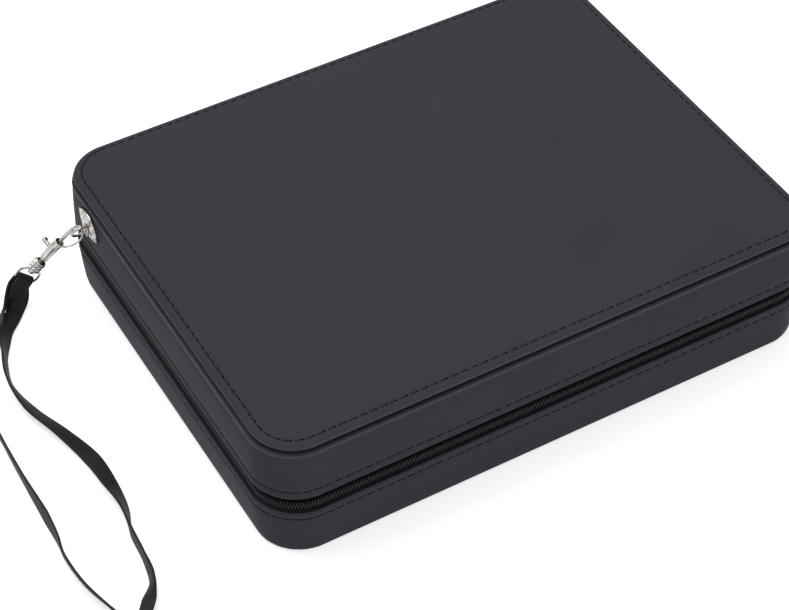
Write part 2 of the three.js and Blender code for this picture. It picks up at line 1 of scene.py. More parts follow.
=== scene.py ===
# %% [markdown]
# # A travel backgammon set in a soft black case
# The real set is a flat box in two halves, covered in black leatherette. A zip closes it on three
# sides, and a small clasp holds a wrist strap at its left end. The construction is loaded as a fixed
# frame, and this lesson dresses it: each piece gets its shape and its finish, and rides on its body.

# %% Load the frame
import math

import bmesh
import bpy
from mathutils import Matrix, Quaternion, Vector


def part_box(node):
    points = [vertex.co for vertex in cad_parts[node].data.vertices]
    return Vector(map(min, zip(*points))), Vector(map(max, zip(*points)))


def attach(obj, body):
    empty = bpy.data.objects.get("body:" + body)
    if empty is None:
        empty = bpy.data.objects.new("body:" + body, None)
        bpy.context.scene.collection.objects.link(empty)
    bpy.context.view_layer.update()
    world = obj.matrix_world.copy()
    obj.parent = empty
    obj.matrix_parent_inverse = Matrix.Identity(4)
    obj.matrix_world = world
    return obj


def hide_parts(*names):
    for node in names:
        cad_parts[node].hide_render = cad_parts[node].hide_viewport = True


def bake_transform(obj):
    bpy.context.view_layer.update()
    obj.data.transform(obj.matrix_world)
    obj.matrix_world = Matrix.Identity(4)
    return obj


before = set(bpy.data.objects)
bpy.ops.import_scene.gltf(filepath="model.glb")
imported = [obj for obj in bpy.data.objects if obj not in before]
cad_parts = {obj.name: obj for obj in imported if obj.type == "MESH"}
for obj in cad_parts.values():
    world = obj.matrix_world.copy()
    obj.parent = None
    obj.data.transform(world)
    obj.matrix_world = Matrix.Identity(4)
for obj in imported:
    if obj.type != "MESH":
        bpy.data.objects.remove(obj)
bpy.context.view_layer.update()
MM = 0.001
TURN = 2 * math.pi


def frame_box(node):
    """Lowest and highest corner of a node, in millimetres"""
    low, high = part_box(node)
    return Vector(low) / MM, Vector(high) / MM


def add_object(name, data):
    """An object in the scene's collection"""
    obj = bpy.data.objects.new(name, data)
    bpy.context.scene.collection.objects.link(obj)
    return obj


def flattened(value, power):
    """A cosine or sine raised to a power below 1 with its sign kept, which squares a round section"""
    return math.copysign(abs(value) ** power, value)


def circle(count, shift=0):
    """(cosine, sine) pairs of equal steps round a circle"""
    angles = [(k + shift) * TURN / count for k in range(count)]
    return [(math.cos(angle), math.sin(angle)) for angle in angles]


# %% [markdown]
# The camera stands where the photographer stood. Its place, its aim and its slight tilt were found by
# matching the case's straight edges, so it is given as a place, a point that it looks at and a roll.

# %% Camera
CAMERA_PLACE = Vector((-316.2, -545.6, 629.1))
CAMERA_AIM = Vector((-29.1, -20.8, 27.1))
CAMERA_ROLL = math.radians(-1.33)
CAMERA_LENS = 103.95

camera_data = bpy.data.cameras.new("camera")
camera_data.lens = CAMERA_LENS
camera_data.sensor_width = 36
camera = add_object("camera", camera_data)
camera.location = CAMERA_PLACE * MM
looking = (CAMERA_AIM - CAMERA_PLACE).to_track_quat("-Z", "Y")
camera.rotation_mode = "QUATERNION"
camera.rotation_quaternion = looking @ Quaternion((0, 0, 1), CAMERA_ROLL)
bpy.context.scene.camera = camera
print("camera looks down at", round(math.degrees(math.asin(-(looking @ Vector((0, 0, -1))).z))), "degrees")

# %% [markdown]
# Every piece is made of skins: rows of points with faces between them. A helper joins the skins of one
# piece into one mesh at the origin, turns its faces outwards, smooths it and lets it ride on its body.


# %% Skins and pieces
def skin(rows, round_rows=False, round_points=False, caps=False):
    """Faces between rows of equally many points, as (points, faces)"""
    count = len(rows[0])
    spans = len(rows) if round_rows else len(rows) - 1
    faces = []
    for row in range(spans):
        near, far = row * count, (row + 1) % len(rows) * count
        for k in range(count if round_points else count - 1):
            step = (k + 1) % count
            faces.append((near + k, near + step, far + step, far + k))
    if caps:
        faces.append(tuple(reversed(range(count))))
        faces.append(tuple(range((len(rows) - 1) * count, len(rows) * count)))
    return [Vector(point) for row in rows for point in row], faces


def ride(obj, body, replaces=()):
    """A finished piece follows its body and stands for the nodes that it replaces"""
    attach(obj, body)
    if replaces:
        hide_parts(*replaces)
    return obj


def mesh_object(name, skins, materials, sharp=40):
    """One mesh at the origin from skins in millimetres; a skin may name its material as a third item"""
    build = bmesh.new()
    for points, faces, *number in skins:
        made = [build.verts.new(point * MM) for point in points]
        for face in faces:
            build.faces.new([made[k] for k in face]).material_index = number[0] if number else 0
    bmesh.ops.remove_doubles(build, verts=build.verts, dist=0.0001 * MM)
    bmesh.ops.recalc_face_normals(build, faces=build.faces)
    mesh = bpy.data.meshes.new(name)
    build.to_mesh(mesh)
    build.free()
    mesh.shade_smooth()
    mesh.set_sharp_from_angle(angle=math.radians(sharp))
    for material in materials:
        mesh.materials.append(material)
    return add_object(name, mesh)


def plain_mesh(obj):
    """The mesh of an object with its modifiers, or of its text, applied"""
    return bpy.data.meshes.new_from_object(obj.evaluated_get(bpy.context.evaluated_depsgraph_get()))


def worn_piece(name, body, skins, materials, replaces=(), sharp=40):
    """One mesh that rides on its body, as most pieces here are made"""
    return ride(mesh_object(name, skins, materials, sharp), body, replaces)


print("a skin of 3 rows of 4 points has", len(skin([[(0, 0, 0)] * 4] * 3)[1]), "faces")

# %% [markdown]
# The wrist strap is a flat ribbon about 6.6 mm wide. One end folds round the eye's bar and is sewn
# down, and the other end is tucked into that fold. On the table the loop stands on its edge for most of
# its way and lies flat where it twists. Its route is a list of places, each with a lean.

# %% Strap route
CLASP_TOP = Vector((-121, 63, 42.15))
CLASP_AIM = Vector((-0.467, 0.389, -0.794)).normalized()
EYE_SIDE = Vector((0.76, -0.28, -0.58))
EYE_BAR = 37.6
STRAP_WIDTH = 6.6
STRAP_THICKNESS = 1.0
FOLD_LAYER = 1.5
CLEARANCE = 0.15
PATH_STEP = 0.9
# Places on the table with a lean in degrees: 0 lies flat, and 90 stands on its edge
ROUTE = [
    ((-151, 73.3), 60), ((-156.1, 65.7), 48), ((-164.6, 58), 74), ((-172.5, 44), 90), ((-175.5, 28), 92),
    ((-176.5, 9.5), 96), ((-177, -10), 90), ((-177, -29.5), 78), ((-177.5, -41.5), 88), ((-178.5, -49), 98),
    ((-177.5, -63.5), 104), ((-174.3, -76), 113), ((-171.8, -83), 118), ((-168, -86.8), 130),
    ((-164.3, -84.6), 150), ((-160.6, -80.2), 148), ((-156.4, -74), 108), ((-154.5, -63), 94),
    ((-153.5, -50.5), 93), ((-151, -38.5), 58), ((-150.5, -25.5), 28), ((-151, -10.5), 6), ((-155.5, 6), 26),
    ((-161, 22.5), 41), ((-162.5, 38.5), 76), ((-159, 51.5), 80), ((-155.4, 60), 56), ((-152.5, 65.2), 47),
    ((-147.9, 70.7), 22), ((-144.2, 75.2), 14),
]


def leaning_knots(route):
    """Knots of a ribbon that rests on the table, from places and leans"""
    found = []
    for i, ((x, y), lean) in enumerate(route):
        before, after = route[max(i - 1, 0)][0], route[min(i + 1, len(route) - 1)][0]
        along = Vector((after[0] - before[0], after[1] - before[1], 0)).normalized()
        outwards = along.cross(Vector((0, 0, 1)))
        angle = math.radians(lean)
        width = outwards * math.cos(angle) - Vector((0, 0, math.sin(angle)))
        height = abs(math.sin(angle)) * STRAP_WIDTH / 2 + abs(math.cos(angle)) * STRAP_THICKNESS / 2
        height += CLEARANCE
        found.append((Vector((x, y, height)), width))
    return found


def square_to_clasp(across):
    return (across - CLASP_AIM * across.dot(CLASP_AIM)).normalized()


def knot_near(front, past, twist):
    """A knot near the eye: so far in front of the clasp's axis, so far past the bar, that share twisted"""
    across = square_to_clasp(EYE_SIDE).lerp(square_to_clasp(Vector((1, 0, 0))), twist).normalized()
    bar = CLASP_TOP + CLASP_AIM * EYE_BAR
    return bar + CLASP_AIM.cross(across) * front + CLASP_AIM * past, across


around_bar = [
    knot_near(FOLD_LAYER * math.cos(share * math.pi), -FOLD_LAYER * math.sin(share * math.pi), 0)
    for share in (0.15, 0.35, 0.5, 0.65, 0.85)
]
flap = [
    ((-143.7, 76.7, 4.9), (0.9, -0.3, -0.3)), ((-141.9, 76.9, 7.8), (0.88, -0.35, -0.3)),
    ((-140.5, 76.9, 10.1), (0.84, -0.38, -0.4)),
]
back_layer = [((-141.4, 80.2, 8.5), (0.75, -0.25, -0.6)), ((-145.4, 78.2, 5.2), (0.5, 0.1, -0.85))]
SEWN_SHIFT = 0.4
sewn_end = [((-142, 77, 4.0), (0.88, -0.4, -0.25)), ((-141.0, 77.9, 7.8), (0.9, -0.3, -0.3))]
sewn_end = [(Vector(at) + Vector(width) * SEWN_SHIFT, width) for at, width in sewn_end]
table_knots = leaning_knots(ROUTE)
knots = flap + around_bar + back_layer + table_knots + sewn_end
knots = [(Vector(at), Vector(width)) for at, width in knots]
print("strap has", len(knots), "knots")

# %% [markdown]
# A smooth curve through the knots carries the ribbon's section, a flat rectangle with rounded edges. Its
# own UV map runs in millimetres along and round the ribbon, so the weave follows every bend.


# %% Strap ribbon
def smooth_path(path_knots, spacing):
    """(place, width) pairs about a spacing apart on a centripetal curve through the knots"""
    places = [Vector(at) for at, _ in path_knots]
    padded = [2 * places[0] - places[1], *places, 2 * places[-1] - places[-2]]
    found = []
    for i in range(len(places) - 1):
        p0, p1, p2, p3 = padded[i : i + 4]
        t1 = (p1 - p0).length ** 0.5
        t2 = t1 + (p2 - p1).length ** 0.5
        t3 = t2 + (p3 - p2).length ** 0.5
        parts = max(2, round((p2 - p1).length / spacing))
        for k in range(parts):
            share = k / parts
            t = t1 + (t2 - t1) * share
            a1 = p0.lerp(p1, t / t1)
            a2 = p1.lerp(p2, (t - t1) / (t2 - t1))
            a3 = p2.lerp(p3, (t - t2) / (t3 - t2))
            b1 = a1.lerp(a2, t / t2)
            b2 = a2.lerp(a3, (t - t1) / (t3 - t1))
            width = Vector(path_knots[i][1]).lerp(Vector(path_knots[i + 1][1]), share)
            found.append((b1.lerp(b2, (t - t1) / (t2 - t1)), width))
    return [*found, (places[-1], Vector(path_knots[-1][1]))]


SECTION_POINTS = 16
path = smooth_path(knots, PATH_STEP)
runs = [0.0]
for (here, _), (there, _) in zip(path, path[1:]):
    runs.append(runs[-1] + (there - here).length)
sections = []
for i, (at, width) in enumerate(path):
    along = (path[min(i + 1, len(path) - 1)][0] - path[max(i - 1, 0)][0]).normalized()
    width = (width - along * width.dot(along)).normalized()
    thick = along.cross(width)
    section = []
    for c, s in circle(SECTION_POINTS, 0.5):
        across, deep = flattened(c, 0.45) * STRAP_WIDTH / 2, flattened(s, 0.55) * STRAP_THICKNESS / 2
        section.append(at + width * across + thick * deep)
    sections.append(section)
strap = mesh_object("wrist_strap_ribbon", [skin(sections, round_points=True, caps=True)], [], sharp=60)
strap_uv = strap.data.uv_layers.new(name="UVMap")
for loop in strap.data.loops:
    row, k = divmod(loop.vertex_index, SECTION_POINTS)
    strap_uv.data[loop.index].uv = (runs[row], k / SECTION_POINTS * 2 * STRAP_WIDTH)
print("strap ribbon is", round(runs[-1]), "mm long")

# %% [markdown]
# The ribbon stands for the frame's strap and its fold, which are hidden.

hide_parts("wrist_strap", "strap_fold")

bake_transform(strap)

# %% [markdown]
# Leatherette, felt and moulded plastic share one thing: small cells or specks, and a slow change of
# shade over the surface. That is one node group, which each material uses with its own sizes, and
# woven goods share a second. These helpers write nodes in few words.


# %% Node helpers
def node_group(name, inputs, outputs):
    """An empty shader group with named sockets, as (group, input node, output node)"""
    group = bpy.data.node_groups.new(name, "ShaderNodeTree")
    kinds = {float: "NodeSocketFloat", tuple: "NodeSocketColor", Vector: "NodeSocketVector"}
    for direction, sockets in (("INPUT", inputs), ("OUTPUT", outputs)):
        for label, value in sockets.items():
            socket = group.interface.new_socket(label, in_out=direction, socket_type=kinds[type(value)])
            socket.default_value = value
    return group, group.nodes.new("NodeGroupInput"), group.nodes.new("NodeGroupOutput")


def add_node(tree, kind, settings=None, **inputs):
    """A node with its settings and its inputs; an input may be a number or another node's output"""
    made = tree.nodes.new(kind)
    for key, value in (settings or {}).items():
        setattr(made, key, value)
    for key, value in inputs.items():
        socket = made.inputs[int(key[1:])] if key[1:].isdigit() else made.inputs[key.replace("_", " ")]
        if isinstance(value, bpy.types.NodeSocket):
            tree.links.new(value, socket)
        else:
            socket.default_value = value
    return made


def math_node(tree, operation, *values):
    inputs = {f"i{k}": value for k, value in enumerate(values)}
    return add_node(tree, "ShaderNodeMath", {"operation": operation}, **inputs).outputs[0]


def scaled_color(tree, color, factor):
    return add_node(tree, "ShaderNodeVectorMath", {"operation": "SCALE"}, i0=color, Scale=factor).outputs[0]


print("node helpers ready")

# %% [markdown]
# The grain group adds fine cells and creases for the relief, and lets soft patches vary the shade and
# the roughness, as handled leatherette shows.

# %% Grain group
grain, grain_in, grain_out = node_group(
    "grain",
    {"Vector": Vector((0, 0, 0)), "Cell Size": 0.001, "Patch Size": 0.03, "Color": (0.5, 0.5, 0.5, 1.0),
     "Shade Spread": 0.1, "Roughness": 0.5, "Roughness Spread": 0.1},
    {"Color": (0.5, 0.5, 0.5, 1.0), "Roughness": 0.5, "Height": 0.0},
)
per_cell = math_node(grain, "DIVIDE", 1.0, grain_in.outputs["Cell Size"])
per_patch = math_node(grain, "DIVIDE", 1.0, grain_in.outputs["Patch Size"])
cells = add_node(grain, "ShaderNodeTexVoronoi", Vector=grain_in.outputs["Vector"], Scale=per_cell)
patches = add_node(
    grain, "ShaderNodeTexNoise", Vector=grain_in.outputs["Vector"], Scale=per_patch, Detail=3.0,
)
creases = add_node(
    grain, "ShaderNodeTexNoise", Vector=grain_in.outputs["Vector"],
    Scale=math_node(grain, "MULTIPLY", per_cell, 0.35), Detail=2.0,
)
centred = math_node(grain, "SUBTRACT", patches.outputs["Fac"], 0.5)
lightness = math_node(grain, "MULTIPLY_ADD", centred, grain_in.outputs["Shade Spread"], 1.0)
shaded = scaled_color(grain, grain_in.outputs["Color"], lightness)
grain.links.new(shaded, grain_out.inputs["Color"])
varied = math_node(grain, "MULTIPLY_ADD", centred, grain_in.outputs["Roughness Spread"],
                   grain_in.outputs["Roughness"])
grain.links.new(varied, grain_out.inputs["Roughness"])
height = math_node(grain, "ADD", cells.outputs["Distance"], creases.outputs["Fac"])
grain.links.new(height, grain_out.inputs["Height"])
print(grain.name, "has", len(grain.nodes), "nodes")

# %% [markdown]
# The weave group multiplies two waves: ribs across X and threads across Y. The lower a thread lies,
# the darker it is: painted shade in the hollows of the weave.

# %% Weave group
weave, weave_in, weave_out = node_group(
    "weave",
    {"Vector": Vector((0, 0, 0)), "Rib Size": 0.001, "Thread Size": 0.0005, "Color": (0.5, 0.5, 0.5, 1.0),
     "Shade Spread": 0.3},
    {"Color": (0.5, 0.5, 0.5, 1.0), "Height": 0.0},
)
apart = add_node(weave, "ShaderNodeSeparateXYZ", Vector=weave_in.outputs["Vector"])


def ribs(position, size):
    """A height from 0 to 1 that rises and falls once for each size"""
    turns = math_node(weave, "DIVIDE", position, size)
    wave = math_node(weave, "SINE", math_node(weave, "MULTIPLY", turns, TURN))
    return math_node(weave, "MULTIPLY_ADD", wave, 0.5, 0.5)


rib = ribs(apart.outputs["X"], weave_in.outputs["Rib Size"])
thread = ribs(apart.outputs["Y"], weave_in.outputs["Thread Size"])
woven = math_node(weave, "MULTIPLY", rib, math_node(weave, "ADD", thread, 0.4))
# Painted shade: the low parts of the weave are darker
hollow_painted_shade = math_node(weave, "MULTIPLY_ADD", woven, weave_in.outputs["Shade Spread"], 0.85)
woven_color = scaled_color(weave, weave_in.outputs["Color"], hollow_painted_shade)
weave.links.new(woven_color, weave_out.inputs["Color"])
weave.links.new(woven, weave_out.inputs["Height"])
print("node groups:", ", ".join(group.name for group in bpy.data.node_groups))

# %% [markdown]
# Each material sets the sizes, colours and roughness of its group and keeps its own shader, where the
# sheen of felt, the coat of plastic or the metal of nickel is set. Sizes are given in millimetres.


# %% Finishes
def blank_material(name):
    material = bpy.data.materials.new(name)
    material.use_nodes = True
    return material, material.node_tree, material.node_tree.nodes["Principled BSDF"]


def set_sockets(shader, values):
    for label, value in values.items():
        shader.inputs[label.replace("_", " ")].default_value = value


def place_group(tree, shader, group, coordinate, strength, relief, values):
    """A group in a material: its colour, roughness and height reach the shader"""
    used = tree.nodes.new("ShaderNodeGroup")
    used.node_tree = group
    where = tree.nodes.new("ShaderNodeTexCoord")
    tree.links.new(where.outputs[coordinate], used.inputs["Vector"])
    for label, value in values.items():
        used.inputs[label].default_value = value
    tree.links.new(used.outputs["Color"], shader.inputs["Base Color"])
    bump = add_node(tree, "ShaderNodeBump", Strength=strength, Distance=relief,
                    Height=used.outputs["Height"])
    tree.links.new(bump.outputs["Normal"], shader.inputs["Normal"])
    return used


def grained(name, color, roughness, cell, patch, shade=0.2, spread=0.1, strength=0.3, relief=0.02,
            **sockets):
    """A finish with small cells, larger patches of slightly other shade, and a relief"""
    material, tree, shader = blank_material(name)
    used = place_group(tree, shader, grain, "Object", strength, relief * MM, {
        "Cell Size": cell * MM, "Patch Size": patch * MM, "Color": (*color, 1), "Shade Spread": shade,
        "Roughness": roughness, "Roughness Spread": spread,
    })
    tree.links.new(used.outputs["Roughness"], shader.inputs["Roughness"])
    set_sockets(shader, sockets)
    return material


def cloth(name, color, roughness, rib_size, thread_size, coordinate="Object", shade=0.3, relief=0.1,
          **sockets):
    """A woven finish with ribs one way and threads the other"""
    material, tree, shader = blank_material(name)
    size = 1 if coordinate == "UV" else MM
    place_group(tree, shader, weave, coordinate, 0.5, relief * MM, {
        "Rib Size": rib_size * size, "Thread Size": thread_size * size, "Color": (*color, 1),
        "Shade Spread": shade,
    })
    set_sockets(shader, {"Roughness": roughness, **sockets})
    return material


def felt(name, color, shade):
    return grained("felt_" + name, color, 0.95, cell=0.5, patch=9, shade=shade, strength=0.6, relief=0.15,
                   Sheen_Weight=0.3)


def plastic(name, color, shade):
    return grained(name + "_plastic", color, 0.22, cell=3, patch=7, shade=shade, spread=0.08, strength=0.05,
                   Coat_Weight=0.4)


def metal(name, color, roughness, cell, patch, shade, spread, strength):
    return grained(name, color, roughness, cell, patch, shade, spread, strength, 0.03, Metallic=1.0)


def draw_out(material, axis, ratio):
    """Stretches the pattern of a material along an axis, into streaks of painted reflection"""
    tree = material.node_tree
    coordinate = next(node for node in tree.nodes if node.bl_idname == "ShaderNodeTexCoord")
    used = next(node for node in tree.nodes if node.bl_idname == "ShaderNodeGroup")
    turned = add_node(tree, "ShaderNodeMapping", {"vector_type": "TEXTURE"}, Scale=(1, 1, ratio),
                      Rotation=axis.to_track_quat("Z", "Y").to_euler(), Vector=coordinate.outputs["Object"])
    tree.links.new(turned.outputs["Vector"], used.inputs["Vector"])


print("finishes: grained, cloth, felt, plastic and metal")

# %% [markdown]
# The case is almost black with a blue cast and hardly reflects the white room. A lighter, glossier copy
# of the leather on bands along its folds is a painted highlight. The clasp is bright nickel; its colour is
# set darker and streaked along its axis, as painted reflection.

# %% Materials
leather = grained("leatherette", (0.0465, 0.0475, 0.0580), 0.5, cell=0.9, patch=34, shade=0.25, spread=0.16,
                  strength=0.25, relief=0.06, Specular_IOR_Level=0.018)
# A lighter, glossier copy of the leather, laid on bands along the folds as a painted highlight
fold_painted_highlight = grained("leatherette_fold", (0.0480, 0.0488, 0.0590), 0.38, cell=0.9, patch=34, shade=0.25,
                        spread=0.16, strength=0.2, relief=0.06, Specular_IOR_Level=0.15)
lining = cloth("board_lining", (0.014, 0.014, 0.015), 0.75, rib_size=0.8, thread_size=0.8)
webbing = cloth("webbing", (0.0105, 0.0100, 0.0140), 0.6, rib_size=0.9, thread_size=0.55, coordinate="UV",
                relief=0.08, Specular_IOR_Level=0.2)
# Near black, darker than the other black cloths: the tape's own black, and painted shade in the groove under
# the teeth
tape = cloth("zip_tape", (0.003, 0.003, 0.0035), 0.9, rib_size=0.5, thread_size=0.7, Specular_IOR_Level=0.1)
coil = grained("zip_coil", (0.0300, 0.0300, 0.0335), 0.4, cell=0.4, patch=12, Specular_IOR_Level=0.2)
thread_black = grained("stitch_thread", (0.0170, 0.0170, 0.0210), 0.6, cell=0.25, patch=10, relief=0.04,
                       Specular_IOR_Level=0.08)
# Near-black discs at the needle holes: painted shade where the thread dives into the leather
needle_hole = grained("needle_hole", (0.0015, 0.0015, 0.002), 0.9, cell=0.25, patch=10,
                      Specular_IOR_Level=0.05)
green_felt = felt("green", (0.020, 0.052, 0.036), shade=0.5)
pale_felt = felt("pale", (0.42, 0.36, 0.25), shade=0.3)
wine_felt = felt("wine", (0.115, 0.018, 0.022), shade=0.4)
ivory = plastic("ivory", (0.70, 0.62, 0.45), shade=0.25)
burgundy = plastic("burgundy", (0.105, 0.010, 0.014), shade=0.9)
black_paint = grained("black_paint", (0.012, 0.012, 0.012), 0.4, cell=0.5, patch=4, relief=0.01)
white_paint = grained("white_paint", (0.75, 0.73, 0.68), 0.4, cell=0.5, patch=4, relief=0.01)
# The nickel is darker than bright nickel, and its strong patches, stretched along the clasp's axis, are
# painted dark and bright reflection streaks
nickel = metal("nickel", (0.40, 0.382, 0.365), 0.16, cell=0.6, patch=1.0, shade=3.0, spread=0.25,
               strength=0.12)
cast_nickel = metal("cast_nickel", (0.44, 0.425, 0.41), 0.28, cell=0.5, patch=5, shade=0.9, spread=0.15,
                    strength=0.15)
draw_out(nickel, CLASP_AIM, 7)
strap.data.materials.append(webbing)
print("materials:", ", ".join(sorted(material.name for material in bpy.data.materials)))

# %% [markdown]
# Both halves, their panels and the zip follow one outline: a rectangle with round corners. It is a list
# of stations, each with a place and a direction outwards. A profile of (outset, height) pairs is then
# carried along the stations, which is how a bag maker's welting runs round a case.

# %% Outline of the case
panel_low, panel_high = frame_box("lid_top_cover")
lid_low, lid_high = frame_box("lid_band")
base_low, base_high = frame_box("base_band")
CORNER = 17.6
CORNER_STEPS = 40
SIDE_SPACING = 4
half_x = panel_high.x - CORNER
half_y = panel_high.y - CORNER
corners = [(-half_x, half_y, 1), (-half_x, -half_y, 2), (half_x, -half_y, 3), (half_x, half_y, 4)]
stations = []
for i, (x, y, turns) in enumerate(corners):
    for k in range(CORNER_STEPS + 1):
        angle = (turns + k / CORNER_STEPS) * TURN / 4
        stations.append((x, y, math.cos(angle), math.sin(angle), True))
    next_x, next_y, _ = corners[(i + 1) % 4]
    parts = round(math.dist((x, y), (next_x, next_y)) / SIDE_SPACING)
    dx, dy = stations[-1][2:4]
    for k in range(1, parts):
        share = k / parts
        stations.append((x + (next_x - x) * share, y + (next_y - y) * share, dx, dy, False))
last_corner = next(i for i, station in enumerate(stations) if station[:2] == (half_x, half_y))
zip_stations = stations[: last_corner + CORNER_STEPS + 1]


def at_station(station, outset, z):
    x, y, dx, dy, _ = station
    return Vector((x + (CORNER + outset) * dx, y + (CORNER + outset) * dy, z))


def outline_row(outset, z, where=stations, wobble=None):
    """The outline at an outset and a height; a wobble moves each station's point in or out"""
    return [
        at_station(station, outset + (wobble(i, station) if wobble else 0), z)
        for i, station in enumerate(where)
    ]


def panel_rows(edge, steps, crown):
    """Rows of a panel: its edge profile, then rings that shrink to its middle over a low crown"""
    rows = [outline_row(outset, z) for outset, z in edge]
    last_outset, last_z = edge[-1]
    base_row = outline_row(last_outset, last_z)
    for k in range(1, steps + 1):
        share = 1 - (1 - k / steps) ** 1.4
        rows.append([
            Vector((p.x * (1 - share), p.y * (1 - share), last_z + crown * math.sin(share * TURN / 4)))
            for p in base_row
        ])
    return rows


def polish_between(obj, low, high):
    """Faces between two heights take the second material, a painted highlight along a fold"""
    for face in obj.data.polygons:
        face.material_index = int(low < face.center.z / MM < high)


print("outline has", len(stations), "stations, the zip follows", len(zip_stations))

# %% [markdown]
# The lid's top is a padded panel with a turned edge. It sits on a narrow neck, so a dark gap shows
# under it, and a row of stitches sinks into it a little way in from the edge.

# %% Top panel
TOP = panel_high.z
STITCH_INSET = 4.0
edge = [
    (-6, TOP - 2.25), (-3.0, TOP - 2.25), (-2.0, TOP - 2.2), (-1.3, TOP - 2.1), (-0.95, TOP - 2.0),
    (-0.74, TOP - 1.84), (-0.7, TOP - 1.66), (-0.8, TOP - 1.48), (-1.05, TOP - 1.24), (-1.5, TOP - 0.96),
    (-2.05, TOP - 0.7), (-2.7, TOP - 0.48), (-3.3, TOP - 0.36), (-3.7, TOP - 0.33),
    (-STITCH_INSET, TOP - 0.38), (-4.4, TOP - 0.27), (-5.0, TOP - 0.04), (-6, TOP + 0.1), (-7.5, TOP + 0.2),
    (-10, TOP + 0.3), (-13, TOP + 0.36),
]
top_skin = skin(panel_rows(edge, 12, 0.25), round_points=True)
top_panel = worn_piece("top_panel", "lid", [top_skin], [leather, fold_painted_highlight],
                       ["lid_top_cover"], sharp=60)
# The panel's rim above the dark gap gets the painted highlight
polish_between(top_panel, TOP - 1.66, TOP - 1.24)

under_edge = [
    (-2.45, 2.3), (-2.45, 0.9), (-2.6, 0.45), (-3.0, 0.12), (-3.6, 0.0), (-5.6, 0.0), (-6.2, 0.12),
    (-6.5, 0.16), (-6.8, 0.12), (-7.4, 0.0), (-13, 0.0),
]
bottom_skin = skin(panel_rows(under_edge, 8, 0.0), round_points=True)
bottom_panel = worn_piece("bottom_panel", "base", [bottom_skin], [leather],
                          ["base_bottom_cover"], sharp=60)
print("panels have", len(top_panel.data.polygons), "and", len(bottom_panel.data.polygons), "faces")

# %% [markdown]
# Each side band is leather over board. It swells a little towards the zip, folds over at both edges and
# has a row of stitches near the zip. At the corners the fold is gathered into small pleats.

# %% Walls and folds
SWELL = lid_high.x - panel_high.x
FOOT = 0.1
WALL = 2.2
PLEAT_EASE = 1.9
lid_top, lid_rim = lid_high.z, lid_low.z + 1.1
foot, rim = base_low.z, base_high.z + 1.6
ledge = base_high.z + 0.2
BACK_LIFT = 0.8
lid_stitch_z, base_stitch_z = lid_low.z + 4.8, base_high.z - 1.6


def pleats(depth):
    """Small gathers at the stations of the corners, of uneven size"""
    def move(i, station):
        swing = math.sin(i * 1.9) * 0.6 + math.sin(i * 0.83 + 1) * 0.4
        return depth * swing * (0.6 + (i % 7) / 7 * 0.4) / PLEAT_EASE if station[4] else 0
    return move


def backness(station):
    """0 at the sides and the front, 1 along the back, easing over the second half of the back corners"""
    share = min(1, max(0, (station[3] - 0.6) / 0.38))
    return share * share * (3 - 2 * share)


def band_skin(levels, inner, at_back):
    """A closed band: its outer profile as (outset, height, pleat) levels, then back along the inner wall"""
    rows = []
    for outset, z, depth in levels + [(outset, z, 0) for outset, z in inner]:
        row = outline_row(outset, z, wobble=pleats(depth) if depth else None)
        for point, station in zip(row, stations):
            point.z += at_back(z) * backness(station)
        rows.append(row)
    return skin(rows, round_rows=True, round_points=True)


def wall(z, low, high, far, near):
    """Outset of a leaning wall at a height between its far and near edges"""
    return far + (near - far) * (z - low) / (high - low)


def lid_wall(z):
    return wall(z, lid_top - 2.6, lid_rim, 0, SWELL)


def base_wall(z):
    return wall(z, foot, rim, -FOOT, SWELL)


def bulged(heights, lean, low, high, depth):
    """Levels of a wall that leans, and bulges between a low and a high edge"""
    return [(lean(z) + depth * math.sin((z - low) / (high - low) * TURN / 2), z, 0) for z in heights]


def dip(lean, z, outsets):
    """Levels of the groove that a row of stitches pulls into a wall"""
    return [(lean(z) + outset, z + up, 0) for outset, up in zip(outsets, (0.8, 0.4, 0, -0.4, -0.9))]


def lid_at_back(z):
    """How far a level moves at the back, so that the lid's rim meets the hinge strip as the base's does"""
    return lid_low.z - BACK_LIFT - lid_rim if z <= lid_rim + 1.3 else 0


def base_at_back(z):
    """How far a level moves at the back: there the rim is lower, and the hinge strip stands in it"""
    if z == ledge:
        return BACK_LIFT + base_high.z - ledge
    return BACK_LIFT + base_high.z - rim if z >= rim - 1.2 else 0


print("the rims are", round(lid_rim - rim, 1), "mm apart at the zip")

# %% [markdown]
# Both profiles run from the top down. The lid's begins in the dark gap under the panel, and the base's
# begins behind its rim, so that a dark groove shows under the zip's teeth.

